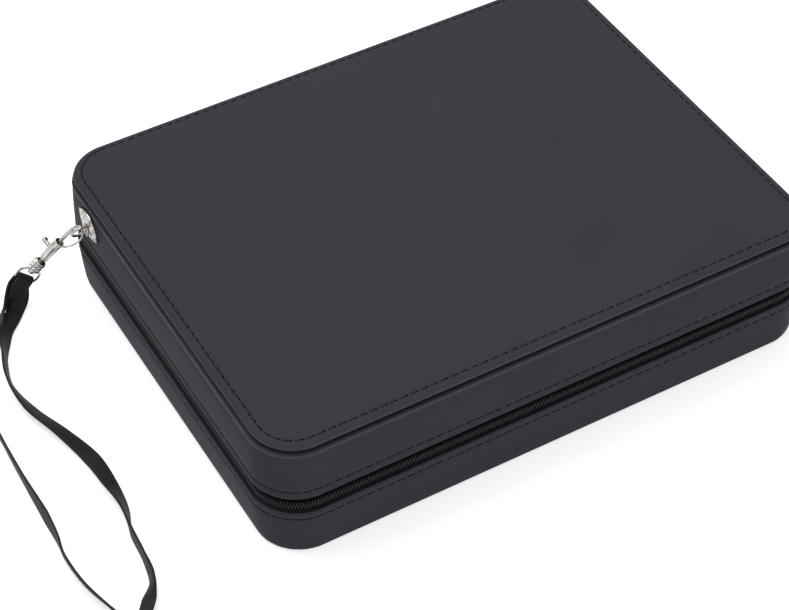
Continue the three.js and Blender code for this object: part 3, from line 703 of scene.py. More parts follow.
# %% Side bands
lid_profile = [
    (-2.6, lid_top - 1.6, 0), (-1.9, lid_top - 1.25, 0.2), (-1.2, lid_top - 1.05, 0.5),
    (-0.5, lid_top - 1.1, 0.7), (-0.05, lid_top - 1.38, 0.5), (0.15, lid_top - 1.75, 0.25),
    (0.12, lid_top - 2.2, 0.1), (0.0, lid_top - 2.8, 0.05), (-0.05, lid_top - 3.6, 0.03),
    *bulged((47.5, 44.5, 41.5, 38.5, 36), lid_wall, lid_rim, lid_top, 0.25),
    *dip(lid_wall, lid_stitch_z, (0.12, -0.02, -0.1, 0.02, 0.18)),
    (SWELL + 0.1, lid_rim + 1.3, 0), (SWELL + 0.05, lid_rim + 0.7, 0), (SWELL - 0.15, lid_rim + 0.25, 0),
    (SWELL - 0.6, lid_rim, 0), (SWELL - 1.2, lid_rim, 0),
]
base_profile = [
    (SWELL - 1.1, ledge, 0), (SWELL - 0.85, rim - 0.35, 0), (SWELL - 0.55, rim, 0),
    (SWELL - 0.15, rim - 0.1, 0), (SWELL + 0.08, rim - 0.45, 0), (SWELL + 0.05, rim - 1.2, 0),
    *dip(base_wall, base_stitch_z, (0.14, -0.02, -0.1, -0.02, 0.1)),
    *bulged((15, 12, 9, 6, 3.6), base_wall, foot, rim, 0.2),
    (-FOOT - 0.02, 2.2, 0), (-FOOT - 0.1, 1.5, 0), (-FOOT - 0.35, 0.9, 0.1), (-FOOT - 0.8, 0.52, 0.15),
    (-FOOT - 1.3, foot, 0), (-FOOT - 1.6, foot, 0),
]
lid_skin = band_skin(lid_profile, [(-WALL, lid_rim), (-WALL, lid_top - 0.2)], lid_at_back)
lid_shell = worn_piece("lid_side", "lid", [lid_skin], [leather, fold_painted_highlight], ["lid_band"],
                       sharp=60)
# The band's fold under the gap gets the painted highlight
polish_between(lid_shell, lid_top - 2.2, lid_top - 1.38)
base_skin = band_skin(base_profile, [(-WALL, foot + 0.3), (-WALL, ledge)], base_at_back)
base_shell = worn_piece("base_side", "base", [base_skin], [leather], ["base_band"], sharp=60)
print("bands have", len(lid_shell.data.polygons), "and", len(base_shell.data.polygons), "faces")

# %% [markdown]
# The spine is one strip of the same leather along the back. It bends along two lines, where it meets
# the halves, so its section is a flat cushion that thins towards both lines.

# %% Spine strip
spine_low, spine_high = frame_box("spine_strip")
spine_middle = (spine_low + spine_high) / 2
spine_half = (spine_high - spine_low) / 2
SPINE_ROWS = 60
FOLD_DEPTH = 0.35
spine_rows = []
for i in range(SPINE_ROWS + 1):
    x = spine_low.x + (spine_high.x - spine_low.x) * i / SPINE_ROWS
    end = min(1.0, 0.35 + min(i, SPINE_ROWS - i) * 0.4)
    section = []
    for c, s in circle(20):
        y = flattened(c, 0.7) * spine_half.y * (0.6 + 0.4 * end)
        z = flattened(s, 0.35) * spine_half.z * (0.9 + 0.1 * end)
        fold_dip = FOLD_DEPTH * math.exp(-(((abs(z) - spine_half.z + 0.9) / 0.5) ** 2)) if y > 0 else 0
        section.append((x, spine_middle.y + y - fold_dip, spine_middle.z + z))
    spine_rows.append(section)
worn_piece("spine", "spine", [skin(spine_rows, round_points=True, caps=True)], [leather],
           ["spine_strip"], sharp=70)
print("spine is", round(spine_high.x - spine_low.x), "mm long")

# %% [markdown]
# Stitches, the zip's teeth, the playing points and the checkers all repeat along a line. One Geometry
# Nodes tree places copies of a small piece along a path, turned to follow it and to face outwards.


# %% Copies along a path
def path_tree():
    """A tree that sets copies of a piece along a path, from a start on and so far apart"""
    group = bpy.data.node_groups.new("copies_along_path", "GeometryNodeTree")
    for name, kind in (("Path", "Geometry"), ("Piece", "Object"), ("Spacing", "Float"), ("Start", "Float"),
                       ("Finish", "Material")):
        group.interface.new_socket(name, in_out="INPUT", socket_type="NodeSocket" + kind)
    group.interface.new_socket("Copies", in_out="OUTPUT", socket_type="NodeSocketGeometry")
    source, result = group.nodes.new("NodeGroupInput"), group.nodes.new("NodeGroupOutput")
    curve = add_node(group, "GeometryNodeMeshToCurve", Mesh=source.outputs["Path"])
    # Sockets 4 and 5 are the start and the end as lengths, and the end lies beyond every path
    trimmed = add_node(group, "GeometryNodeTrimCurve", {"mode": "LENGTH"}, Curve=curve.outputs["Curve"],
                       i4=source.outputs["Start"], i5=100)
    spaced = add_node(group, "GeometryNodeResampleCurve", {"mode": "LENGTH"}, Curve=trimmed.outputs["Curve"],
                      Length=source.outputs["Spacing"])
    tangent = add_node(group, "GeometryNodeInputTangent")
    outwards = add_node(group, "GeometryNodeInputNamedAttribute", {"data_type": "FLOAT_VECTOR"},
                        Name="outwards")
    turn = add_node(group, "FunctionNodeAxesToRotation", {"primary_axis": "X", "secondary_axis": "Z"},
                    i0=tangent.outputs[0], i1=outwards.outputs["Attribute"])
    piece = add_node(group, "GeometryNodeObjectInfo", Object=source.outputs["Piece"])
    copies = add_node(
        group, "GeometryNodeInstanceOnPoints", Points=spaced.outputs["Curve"],
        Instance=piece.outputs["Geometry"], Rotation=turn.outputs["Rotation"],
    )
    real = add_node(group, "GeometryNodeRealizeInstances", Geometry=copies.outputs["Instances"])
    finished = add_node(group, "GeometryNodeSetMaterial", Geometry=real.outputs["Geometry"],
                        Material=source.outputs["Finish"])
    group.links.new(finished.outputs["Geometry"], result.inputs["Copies"])
    return group


along_path = path_tree()
print("tree has", len(along_path.nodes), "nodes")

# %% [markdown]
# The tree reads its path from a mesh of edges that stores the outward direction at each point. What it
# makes becomes one plain mesh, and the path is thrown away.


# %% Pieces on a path
def path_mesh(name, lines):
    """A mesh of polylines in metres; each line is (points, outward directions, closed)"""
    points, edges, directions = [], [], []
    for line, outwards, closed in lines:
        first = len(points)
        points += [p * MM for p in line]
        directions += outwards
        edges += [(first + k, first + k + 1) for k in range(len(line) - 1)]
        if closed:
            edges.append((first + len(line) - 1, first))
    mesh = bpy.data.meshes.new(name)
    mesh.from_pydata(points, edges, [])
    attribute = mesh.attributes.new("outwards", "FLOAT_VECTOR", "POINT")
    attribute.data.foreach_set("vector", [c for d in directions for c in d])
    return mesh


def copies_on(name, lines, piece, spacing, finish, start=0.0, smooth=True):
    """Copies of a piece along lines, as one plain mesh object at the origin"""
    carrier = add_object(name + "_path", path_mesh(name + "_path", lines))
    sockets = {item.name: item.identifier for item in along_path.interface.items_tree}
    maker = carrier.modifiers.new("copies", "NODES")
    maker.node_group = along_path
    values = {"Piece": piece, "Spacing": spacing * MM, "Start": start * MM, "Finish": finish}
    for label, value in values.items():
        maker[sockets[label]] = value
    mesh = plain_mesh(carrier)
    mesh.name = name
    if "outwards" in mesh.attributes:
        mesh.attributes.remove(mesh.attributes["outwards"])
    if not mesh.materials:
        mesh.materials.append(finish)
    if smooth:
        mesh.shade_smooth()
    bpy.data.objects.remove(carrier)
    return add_object(name, mesh)


def small_piece(name, skins, sharp=50):
    """A piece to copy, which is kept out of the scene"""
    obj = mesh_object(name, skins, [], sharp)
    bpy.context.scene.collection.objects.unlink(obj)
    return obj


print("paths can carry pieces")

# %% [markdown]
# A lockstitch shows as a short dash of thread whose ends dive into the needle holes, and it leans a
# little across the seam. About 4 mm from one to the next, it runs round the top panel and both bands.

# %% Stitches
STITCH_PITCH = 4.0
STITCH_LENGTH = 3.3
STITCH_LEAN = 0.13
stitch_rows = []
for i in range(8):
    share = i / 7
    x = (share - 0.5) * STITCH_LENGTH
    arch = math.sin(share * TURN / 2)
    radius = 0.12 + 0.13 * arch ** 0.5
    stitch_rows.append([
        Vector((x, x * STITCH_LEAN + radius * c, -0.22 + 0.24 * arch + radius * s)) for c, s in circle(6)
    ])
stitch = small_piece("stitch", [skin(stitch_rows, round_points=True, caps=True)])
# Each needle hole is a flat near-black disc on the surface, painted shade in place of a real hole
hole_rows = [
    [Vector((size * 0.5 * c, size * 0.36 * s, z)) for c, s in circle(8)]
    for size, z in ((1.0, -0.3), (1.0, 0.0), (0.75, 0.07), (0.2, 0.08))
]
hole = small_piece("hole", [skin(hole_rows, round_points=True, caps=True)])


def seam(outset, z, facing):
    """A seam along the outline, facing outwards (0), up (1) or down (-1)"""
    level = 1 - abs(facing)
    outwards = [Vector((dx * level, dy * level, facing)).normalized() for _, _, dx, dy, _ in stations]
    return outline_row(outset, z), outwards, True


seams = {
    "top": ("lid", [seam(-STITCH_INSET, TOP - 0.22, 1)]),
    "lid": ("lid", [seam(lid_wall(lid_stitch_z) + 0.02, lid_stitch_z, 0)]),
    "base": ("base", [seam(base_wall(base_stitch_z) + 0.02, base_stitch_z, 0), seam(-6.5, 0.3, -1)]),
}
for name, (body, lines) in seams.items():
    thread_run = copies_on(name + "_stitches", lines, stitch, STITCH_PITCH, thread_black)
    ride(thread_run, body)
    holes = copies_on(name + "_needle_holes", lines, hole, STITCH_PITCH, needle_hole, start=STITCH_PITCH / 2)
    ride(holes, body)
    print(name, "seam:", len(thread_run.data.polygons) + len(holes.data.polygons), "faces")

# %% [markdown]
# A coil zip is a pair of nylon spirals sewn to cloth tapes. From outside, each spiral shows as a row of
# short slanted teeth, and the two rows mesh in the middle. The tapes lie a little deeper than the rims.

# %% Zip
TOOTH_PITCH = 1.1
TOOTH_REACH = 1.7
TOOTH_LEAN = 0.6
COIL_OUTSET = -0.45
TAPE_BACK = -2.3
TOOTH_SIZES = (0.23, 0.26, 0.27, 0.27, 0.3, 0.34, 0.23)
coil_middle = (frame_box("base_zip_half")[0].z + frame_box("lid_zip_half")[1].z) / 2


def tape_skin(far_z, up):
    """Section of one tape: from the rim to the teeth, with the cord that the spiral is sewn to"""
    front = COIL_OUTSET - 0.6
    section = [
        (TAPE_BACK, far_z), (front - 1.0, far_z), (front - 0.9, far_z + up * 0.9),
        (front - 0.75, coil_middle - up * (TOOTH_REACH + 0.3)),
        (front, coil_middle - up * (TOOTH_REACH - 0.1)),
        (front, coil_middle - up * 0.3), (TAPE_BACK + 0.2, coil_middle - up * 0.15),
        (TAPE_BACK, coil_middle - up * 0.3),
    ]
    rows = [[at_station(station, outset, z) for outset, z in section] for station in zip_stations]
    return skin(rows, round_points=True, caps=True)


def tooth(up):
    """One turn of the spiral: it rises from the tape, leans along the zip and bulges at its head"""
    rows = []
    for i, size in enumerate(TOOTH_SIZES):
        share = i / (len(TOOTH_SIZES) - 1)
        rise = up * (TOOTH_REACH * (1 - share) - 0.1 + 0.05 * share)
        lean = TOOTH_LEAN * (1 - share)
        lift = -0.3 + 0.55 * math.sin(share * TURN / 2) ** 0.5 if 0 < share < 1 else -0.3
        rows.append([Vector((lean + size * c, -rise, lift + size * 0.9 * s)) for c, s in circle(6)])
    return small_piece("tooth", [skin(rows, round_points=True, caps=True)], sharp=80)


zip_facing = [Vector((dx, dy, 0)) for _, _, dx, dy, _ in zip_stations]
tooth_line = (outline_row(COIL_OUTSET, coil_middle, zip_stations), zip_facing, False)
for body, far_z, up, start in (("base", ledge - 0.1, 1, 1), ("lid", lid_rim + 0.1, -1, 1 + TOOTH_PITCH / 2)):
    worn_piece(body + "_zip_tape", body, [tape_skin(far_z, up)], [tape], [body + "_zip_half"],
               sharp=50)
    teeth = copies_on(body + "_zip_teeth", [tooth_line], tooth(up), TOOTH_PITCH, coil, start=start)
    ride(teeth, body)
    print(body, "teeth:", len(teeth.data.polygons), "faces")

# %% [markdown]
# The metal pieces are turned or bent from wire. A lathe turns a profile of (radius, height) pairs about
# an axis, and a tube follows a path of points. Each works in the local directions of its piece: for the
# clasp, Z runs down its axis, so heights are distances from where the bolt meets the bow.

# %% Lathe and tube
def directions(origin, across, axis):
    """A local frame as a function from (x, y, z) to a place in millimetres"""
    z = axis.normalized()
    x = (across - z * across.dot(z)).normalized()
    y = z.cross(x)
    return lambda px, py, pz: origin + x * px + y * py + z * pz


def lathe(profile, place, sides=32, ripple=None):
    """A closed turned skin; a ripple changes the radius by angle and row"""
    rows = []
    for i, (radius, height) in enumerate(profile):
        rounds = [radius * (ripple(TURN * k / sides, i) if ripple else 1) for k in range(sides)]
        rows.append([place(r * c, r * s, height) for r, (c, s) in zip(rounds, circle(sides))])
    return skin(rows, round_points=True, caps=True)


def eased(profile, radius=0.12, steps=3):
    """A profile whose inner corners are rounded, as polishing leaves them"""
    points = [Vector(p) for p in profile]
    result = [points[0]]
    for before, here, after in zip(points, points[1:], points[2:]):
        back, ahead = before - here, after - here
        reach = min(radius, back.length * 0.45, ahead.length * 0.45)
        if reach < 1e-6 or here.x < 1e-6:
            result.append(here)
            continue
        start, end = here + back.normalized() * reach, here + ahead.normalized() * reach
        for k in range(steps + 1):
            t = k / steps
            result.append(start * (1 - t) ** 2 + here * 2 * t * (1 - t) + end * t * t)
    return [tuple(p) for p in [*result, points[-1]]]


def tube(points, radius, sides=12, closed=False):
    """A round skin along points; the radius may be a number or a function of the share of the way"""
    count = len(points)
    ahead = [
        (points[(i + 1) % count if closed else min(i + 1, count - 1)]
         - points[(i - 1) % count if closed else max(i - 1, 0)]).normalized()
        for i in range(count)
    ]
    side = ahead[0].orthogonal().normalized()
    rows = []
    for i, (point, along) in enumerate(zip(points, ahead)):
        side = (side - along * side.dot(along)).normalized()
        other = along.cross(side)
        r = radius(i / (count - 1)) if callable(radius) else radius
        rows.append([point + side * (r * c) + other * (r * s) for c, s in circle(sides)])
    return skin(rows, round_rows=closed, round_points=True, caps=not closed)


def wire_path(flat, place, steps=8):
    """Points along a smooth curve through (across, along) pairs"""
    flat_knots = [((x, 0, z), (0, 1, 0)) for x, z in flat]
    curve = smooth_path(flat_knots, 10)
    spacing = sum((b[0] - a[0]).length for a, b in zip(curve, curve[1:])) / (len(flat) * steps)
    return [place(p.x, 0, p.z) for p, _ in smooth_path(flat_knots, spacing)]


def petals(count, depth, last):
    """A ripple of so many petals on the rows from the second to the last"""
    return lambda angle, i: 1 + (depth * math.cos(count * angle) if 1 <= i <= last else 0)


print("polished corner becomes", len(eased([(0, 0), (1, 0), (1, 1)])), "points")

# %% [markdown]
# A leaf-shaped plate is riveted to the lid's left wall. The rivets have petals, like small rosettes, and
# a short post with a ring turns in the middle of the plate.

# %% Anchor plate and ring
HOOK_SIDE = CLASP_AIM.cross(Vector((1, 0, 0))).normalized()
ring_centre = CLASP_TOP + CLASP_AIM * -2.9 + HOOK_SIDE * 3
wall_top, wall_low = lid_top - 0.9, lid_rim + 0.9
wall_lean = math.atan2(SWELL, wall_top - wall_low)
wall_outset = SWELL * (wall_top - ring_centre.z) / (wall_top - wall_low)
wall_out = Vector((-math.cos(wall_lean), 0, math.sin(wall_lean)))
PLATE_LIFT = 1.5
plate_foot = Vector((panel_low.x - wall_outset, ring_centre.y, ring_centre.z + PLATE_LIFT)) + wall_out * 0.3
PLATE_RISE = math.radians(21)
plate_place = directions(plate_foot, Vector((0, math.cos(PLATE_RISE), math.sin(PLATE_RISE))), wall_out)
PLATE_HALF = 8.3
PLATE_WIDE = 4.9
PLATE_DOME = 1.3
RIVET_SPAN = 10.4
plate_rows = []
for i in range(33):
    x = -PLATE_HALF * math.cos(i / 32 * TURN / 2)
    half = max(0.12, PLATE_WIDE * (1 - (x / PLATE_HALF) ** 2))
    section = [(-0.96, -0.25), (-1, 0.2), (-1, 0.5)]
    for k in range(13):
        u = -0.94 + 1.88 * k / 12
        rim_dip = 0.12 if 0.68 < abs(u) < 0.82 else 0
        dome = PLATE_DOME * (1 - u * u) * (1 - (x / PLATE_HALF) ** 2)
        section.append((u, 0.66 + dome - rim_dip))
    section += [(1, 0.5), (1, 0.2), (0.96, -0.25)]
    plate_rows.append([plate_place(x, half * u, z) for u, z in section])
plate_skins = [skin(plate_rows, round_points=True, caps=True)]
along_plate = plate_place(1, 0, 0) - plate_place(0, 0, 0)
for sign in (-1, 1):
    plate_skins.append(lathe(
        [(1.2, 0.4), (1.45, 0.8), (1.42, 1.05), (1.1, 1.25), (0.72, 1.16), (0.62, 1.2), (0.5, 1.42),
         (0.25, 1.5), (0.02, 1.52)],
        directions(plate_place(sign * RIVET_SPAN / 2, 0, 0), along_plate, wall_out), 56, petals(7, 0.1, 4)))
rosette_foot = Vector((plate_foot.x, ring_centre.y, ring_centre.z))
plate_skins.append(lathe(
    [(1.9, 0.9), (2.5, 1.5), (2.6, 1.9), (2.3, 2.15), (1.85, 2.0), (1.5, 2.1), (1.3, 1.9), (1.3, 0.9)],
    directions(rosette_foot, along_plate, wall_out), 72, petals(8, 0.13, 4)))
plate = worn_piece("anchor_plate_polished", "lid", plate_skins, [nickel], ["anchor_plate"],
                   sharp=45)

RING_RADIUS = 3.05
RING_WIRE = 0.55
ring_place = directions(ring_centre, Vector((1, 0, 0)), HOOK_SIDE)
ring_line = [ring_place(RING_RADIUS * c, RING_RADIUS * s, 0) for c, s in circle(48)]
post_place = directions(ring_centre, Vector((0, 0, 1)), Vector((1, 0, 0)))
post_end = panel_low.x - wall_outset - 0.6 - ring_centre.x
boss_top = plate_foot.x - 1.1 - ring_centre.x
post = lathe(
    eased([(0.02, boss_top - 0.75), (0.9, boss_top - 0.75), (1.4, boss_top - 0.4), (1.4, boss_top - 0.1),
           (1.2, boss_top), (1.2, post_end), (0.02, post_end)], 0.15),
    post_place, sides=32,
)
ring = worn_piece("anchor_ring_polished", "clasp",
                  [tube(ring_line, RING_WIRE, 16, closed=True), post], [nickel], ["anchor_ring"], sharp=50)
print("plate and ring:", len(plate.data.polygons), "and", len(ring.data.polygons), "faces")

# %% [markdown]
# The clasp is a spring-bolt snap. A bent bow hangs on the ring, and a bolt in the barrel closes it. The
# slot for the bolt's knob is cut into the barrel with a boolean, as on a milling machine.

# %% Hook
hook_place = directions(CLASP_TOP, HOOK_SIDE, CLASP_AIM)
bow_line = wire_path(
    [(1.3, 10.6), (3.4, 7.6), (4.8, 4), (5.5, 0.8), (5.6, -1.8), (5.2, -3.6), (4.1, -4.6), (2.8, -4.82),
     (1.5, -4.35), (0.5, -2.8), (0, -0.5)], hook_place)


def bow_radius(share):
    """The wire's radius, thicker where it leaves the barrel and at its tip"""
    return 0.4 + 0.25 * max(0, 1 - share / 0.12) + 0.22 * max(0, 1 - (1 - share) / 0.25)


barrel = lathe(
    eased([(1.15, 11.0), (1.15, 9.6), (1.75, 9.5), (1.95, 9.8), (1.95, 10.6), (1.72, 10.9), (1.72, 11.3),
           (1.9, 11.6), (1.9, 20.2), (1.7, 20.5), (1.7, 20.8), (1.88, 21.0), (1.75, 21.6), (1.15, 22.6),
           (0.9, 23.2), (0.9, 31.1), (1.6, 31.1), (1.6, 31.8), (1.2, 32.2), (0.02, 32.3)], 0.15),
    hook_place, sides=40,
)
hook = mesh_object("clasp_hook_polished", [barrel], [nickel], sharp=50)
SLOT_HALF, SLOT_START, SLOT_END = 0.95, 14.5, 20.05
slot_box = [
    [hook_place(x, y, z) for y, z in (
        (-SLOT_HALF, SLOT_START), (SLOT_HALF, SLOT_START), (SLOT_HALF, SLOT_END), (-SLOT_HALF, SLOT_END))]
    for x in (-4, -0.9)
]
cutter = mesh_object("slot_cutter", [skin(slot_box, round_points=True, caps=True)], [])
cut = hook.modifiers.new("slot", "BOOLEAN")
cut.object, cut.operation, cut.solver = cutter, "DIFFERENCE", "EXACT"
cut_mesh = plain_mesh(hook)
hook.modifiers.clear()
hook.data = cut_mesh
bpy.data.objects.remove(cutter)
cut_mesh.set_sharp_from_angle(angle=math.radians(40))
ride(hook, "hook", ["clasp_hook"])
bow = worn_piece("clasp_bow", "hook", [tube(bow_line, bow_radius, 16)], [nickel], sharp=60)
print("hook and bow:", len(hook.data.polygons), "and", len(bow.data.polygons), "faces")

# %% [markdown]
# A thumb knob draws the bolt back through the slot. Below, a ribbed collar turns on the hook's stem and
# carries the three-sided eye for the strap.

# %% Trigger and eye
bolt = lathe(eased([(0.02, -0.2), (0.62, -0.2), (0.8, 0.1), (0.8, 16.2), (0.02, 16.2)], 0.15), hook_place,
             sides=24)
knob_place = directions(hook_place(0, 0, 15.6), CLASP_AIM, hook_place(-1, 0, 0.22) - hook_place(0, 0, 0))
knob = lathe(
    eased([(0.8, 0.2), (0.8, 4.3), (0.9, 4.55), (1.2, 4.8), (1.34, 5.3), (1.25, 5.8), (0.9, 6.2), (0.4, 6.4),
           (0.02, 6.45)], 0.15),
    knob_place, sides=36,
)
trigger = worn_piece("clasp_trigger_polished", "trigger", [bolt, knob], [nickel],
                     ["clasp_trigger"], sharp=50)

eye_place = directions(CLASP_TOP, EYE_SIDE, CLASP_AIM)
marks = [24 + k * 6.8 / 7 for k in range(8)]
top, bottom = marks[0], marks[-1]
collar_profile = [(0.95, top + 0.4), (0.95, top), (1.7, top), (2.05, top + 0.25)]
for start, end in zip(marks[1:6:2], marks[2:7:2]):
    collar_profile += [(2.02, start - 0.12), (2.5, start + 0.1), (2.62, (start + end) / 2), (2.5, end - 0.1),
                       (2.02, end + 0.12)]
collar_profile += [(2.05, bottom - 0.3), (1.8, bottom), (0.95, bottom), (0.95, bottom - 0.4)]
collar = lathe(eased(collar_profile, 0.1), eye_place, sides=40)
EYE_WIRE = 0.5
eye_half = STRAP_WIDTH / 2 + 0.3 + EYE_WIRE
eye_side = [(1.7, 29.6), (eye_half - 0.3, 32.2), (eye_half, 33.4), (eye_half, EYE_BAR - 1.4),
            (eye_half - 0.75, EYE_BAR)]
eye_line = wire_path([*((-x, z) for x, z in eye_side), (0, EYE_BAR), *reversed(eye_side)], eye_place)
eye = worn_piece("clasp_eye_polished", "clasp", [collar, tube(eye_line, EYE_WIRE, 16)], [nickel],
                 ["clasp_eye"], sharp=50)
print("trigger and eye:", len(trigger.data.polygons), "and", len(eye.data.polygons), "faces")

# %% [markdown]
# The zip's slider and puller are small castings. Their worked shapes are close to the frame's, so each
# is a merged copy with rounded edges, made by the Bevel modifier.

# %% Slider and puller
def softened(node, width, segments=3):
    """A merged copy of a node's mesh with rounded edges"""
    build = bmesh.new()
    build.from_mesh(bpy.data.objects[node].data)
    bmesh.ops.remove_doubles(build, verts=build.verts, dist=0.01 * MM)
    bmesh.ops.dissolve_limit(build, angle_limit=math.radians(2), verts=build.verts, edges=build.edges)
    mesh = bpy.data.meshes.new(node + "_polished")
    build.to_mesh(mesh)
    build.free()
    mesh.materials.clear()
    mesh.shade_smooth()
    obj = add_object(mesh.name, mesh)
    edge_round = obj.modifiers.new("edges", "BEVEL")
    edge_round.width, edge_round.segments = width * MM, segments
    edge_round.limit_method, edge_round.angle_limit = "ANGLE", math.radians(30)
    return obj


for node, body in (("zip_slider", "slider"), ("zip_puller", "puller")):
    piece = softened(node, 0.25)
    piece.data.materials.append(cast_nickel)
    ride(piece, body, [node])
puller_low, puller_high = frame_box("zip_puller")
print("puller is", round(puller_high.y - puller_low.y, 1), "mm long")

# %% [markdown]
# Inside, both halves are trays lined with dark board. The felt field of each half carries twelve points,
# six from each short side, in two alternating colours. A point is a thin inlaid felt triangle, and the
# tree for copies sets six of them side by side along each short side.

# %% Playing fields
FIELD_POINTS = 6
POINT_LENGTH = 88


def point_piece(width):
    """A felt triangle: X along the short side, Y towards the middle of the field, Z up from the felt"""
    outline = [(-width / 2, 0), (width / 2, 0), (0.35, POINT_LENGTH), (-0.35, POINT_LENGTH)]
    rows = [
        [Vector((x * (1 - inset / width * 2), y + (inset if y == 0 else -inset * 4), z)) for x, y in outline]
        for inset, z in ((0, -0.1), (0, 0.16), (0.3, 0.24))
    ]
    return small_piece("point", [skin(rows, round_points=True, caps=True)])


def field_board(name, body, node, up):
    """The felt board of one half, with its points inlaid"""
    low, high = frame_box(node)
    back, face = (low.z, high.z) if up > 0 else (high.z, low.z)
    width = (high.y - low.y) / FIELD_POINTS
    soft = 0.5
    edge = ((0, back), (0, face - up * soft), (soft * 0.3, face - up * soft * 0.3), (soft, face))
    ends = ((low.x, low.y, 1), (low.x, high.y, -1), (high.x, high.y, -1), (high.x, low.y, 1))
    rows = [[Vector((x - math.copysign(inset, x), y + inset * way, z)) for x, y, way in ends]
            for inset, z in edge]
    board_skin = skin(rows, round_points=True, caps=True)
    worn_piece(name, body, [board_skin], [green_felt], [node], sharp=30)
    piece = point_piece(width - 0.8)
    for finish, shift in ((pale_felt, 0), (wine_felt, 1)):
        lines = []
        for side in (-1, 1):
            start = low.y + width * (0.5 + (shift + (side > 0)) % 2)
            line = [Vector((side * (high.x - 0.4), start + k * width * 2, face)) for k in range(3)]
            # Going along Y, a copy's own Y points to -X when Z is up, so the line runs to suit its side
            if (side > 0) != (up > 0):
                line.reverse()
            lines.append((line, [Vector((0, 0, up))] * 3, False))
        points = copies_on(f"{name}_{finish.name}", lines, piece, width * 2, finish, smooth=False)
        ride(points, body)


field_board("base_field", "base", "base_playing_field", 1)
field_board("lid_field", "lid", "lid_playing_field", -1)
for node in ("base_tray", "lid_tray", "base_trough_divider", "lid_trough_divider"):
    shell = bpy.data.objects[node]
    shell.data.materials.clear()
    shell.data.materials.append(lining)
print("fields carry", 4 * FIELD_POINTS, "points")

# %% [markdown]
# A checker is turned from plastic: a disc with a soft edge and two fine rings on each face. Fifteen of
# each colour stand on edge, so the tree for copies sets them along the trough.

# %% Checkers
checker_low, checker_high = frame_box("light_checker_01")
CHECKER_RADIUS = (checker_high.z - checker_low.z) / 2
CHECKER_HALF = (checker_high.x - checker_low.x) / 2
DRAWN_RADIUS = 10.5
ROLL = 15


def checker_piece():
    """A turned disc; its face is given as (millimetres from the axis, share of the half thickness)"""
    face = [(0.02, 0.85), (3.0, 0.85), (3.4, 1.0), (4.6, 1.0), (4.9, 0.88), (6.9, 0.88), (7.2, 1.0),
            (8.4, 1.0), (9.2, 0.97)]
    scale = CHECKER_RADIUS / DRAWN_RADIUS
    upper = [(r * scale, h * CHECKER_HALF) for r, h in face]
    upper += [(CHECKER_RADIUS - 0.3, 0.84 * CHECKER_HALF), (CHECKER_RADIUS, 0.5 * CHECKER_HALF)]
    profile = upper + [(CHECKER_RADIUS - 0.12, 0)] + [(r, -h) for r, h in reversed(upper)]
    return small_piece("checker", [lathe(profile, lambda x, y, z: Vector((z, x, y)), sides=48)], sharp=40)


for colour, finish in (("light", ivory), ("dark", burgundy)):
    nodes = [f"{colour}_checker_{k:02d}" for k in range(1, ROLL + 1)]
    first, last = (sum(frame_box(node), Vector()) / 2 for node in (nodes[0], nodes[-1]))
    line = ([first, last], [Vector((0, 0, 1))] * 2, False)
    # A hair under the pitch, so that rounding doesn't lose the last checker
    pitch = (last - first).length / (ROLL - 1) * 0.9999
    roll = copies_on(f"{colour}_checkers", [line], checker_piece(), pitch, finish)
    roll.data.set_sharp_from_angle(angle=math.radians(40))
    ride(roll, f"{colour}_checkers", nodes)
    print(colour, "checkers:", len(roll.data.polygons), "faces")

# %% [markdown]
# Dice are cubes with well rounded edges, whose pips are shallow painted cups.

# %% Dice
PIPS = {
    1: [(0, 0)], 2: [(-1, -1), (1, 1)], 3: [(-1, -1), (0, 0), (1, 1)],
    4: [(-1, -1), (-1, 1), (1, -1), (1, 1)], 5: [(-1, -1), (-1, 1), (0, 0), (1, -1), (1, 1)],
    6: [(-1, -1), (-1, 0), (-1, 1), (1, -1), (1, 0), (1, 1)],
}
FACES = [
    ((0, 0, 1), (1, 0, 0)), ((0, 0, -1), (1, 0, 0)), ((1, 0, 0), (0, 1, 0)), ((-1, 0, 0), (0, 1, 0)),
    ((0, 1, 0), (0, 0, 1)), ((0, -1, 0), (0, 0, 1)),
]


SIDES = [(n, u, n.cross(u)) for n, u in ((Vector(facing), Vector(across)) for facing, across in FACES)]
GRID = [-1, -0.96, -0.9, -0.82, -0.6, 0, 0.6, 0.82, 0.9, 0.96, 1]


def rounded_cube(centre, size, rounding):
    """A cube whose edges and corners are rounded, as a grid pushed onto a rounded box"""
    core = size / 2 - rounding

    def pushed(p):
        inner = Vector([max(-core, min(core, c)) for c in p])
        return centre + inner + (p - inner).normalized() * rounding

    return [
        skin([[pushed((n + u * a + v * b) * (size / 2)) for b in GRID] for a in GRID]) for n, u, v in SIDES
    ]


def pip(centre, facing, radius):
    """A painted cup, which takes the second material of its die"""
    profile = [(radius * 0.3, 0.02), (radius * 0.92, 0.05), (radius, 0.0), (radius * 0.9, -0.12)]
    return *lathe(profile, directions(centre, facing.orthogonal(), facing), sides=16), 1


def die_values(top):
    """The numbers on the six sides, in the order of SIDES; opposite sides add up to seven"""
    side = 2 if top in (3, 4) else 3
    values = [top, 7 - top, side, 7 - side]
    rest = next(v for v in range(1, 7) if v not in values)
    return [*values, rest, 7 - rest]


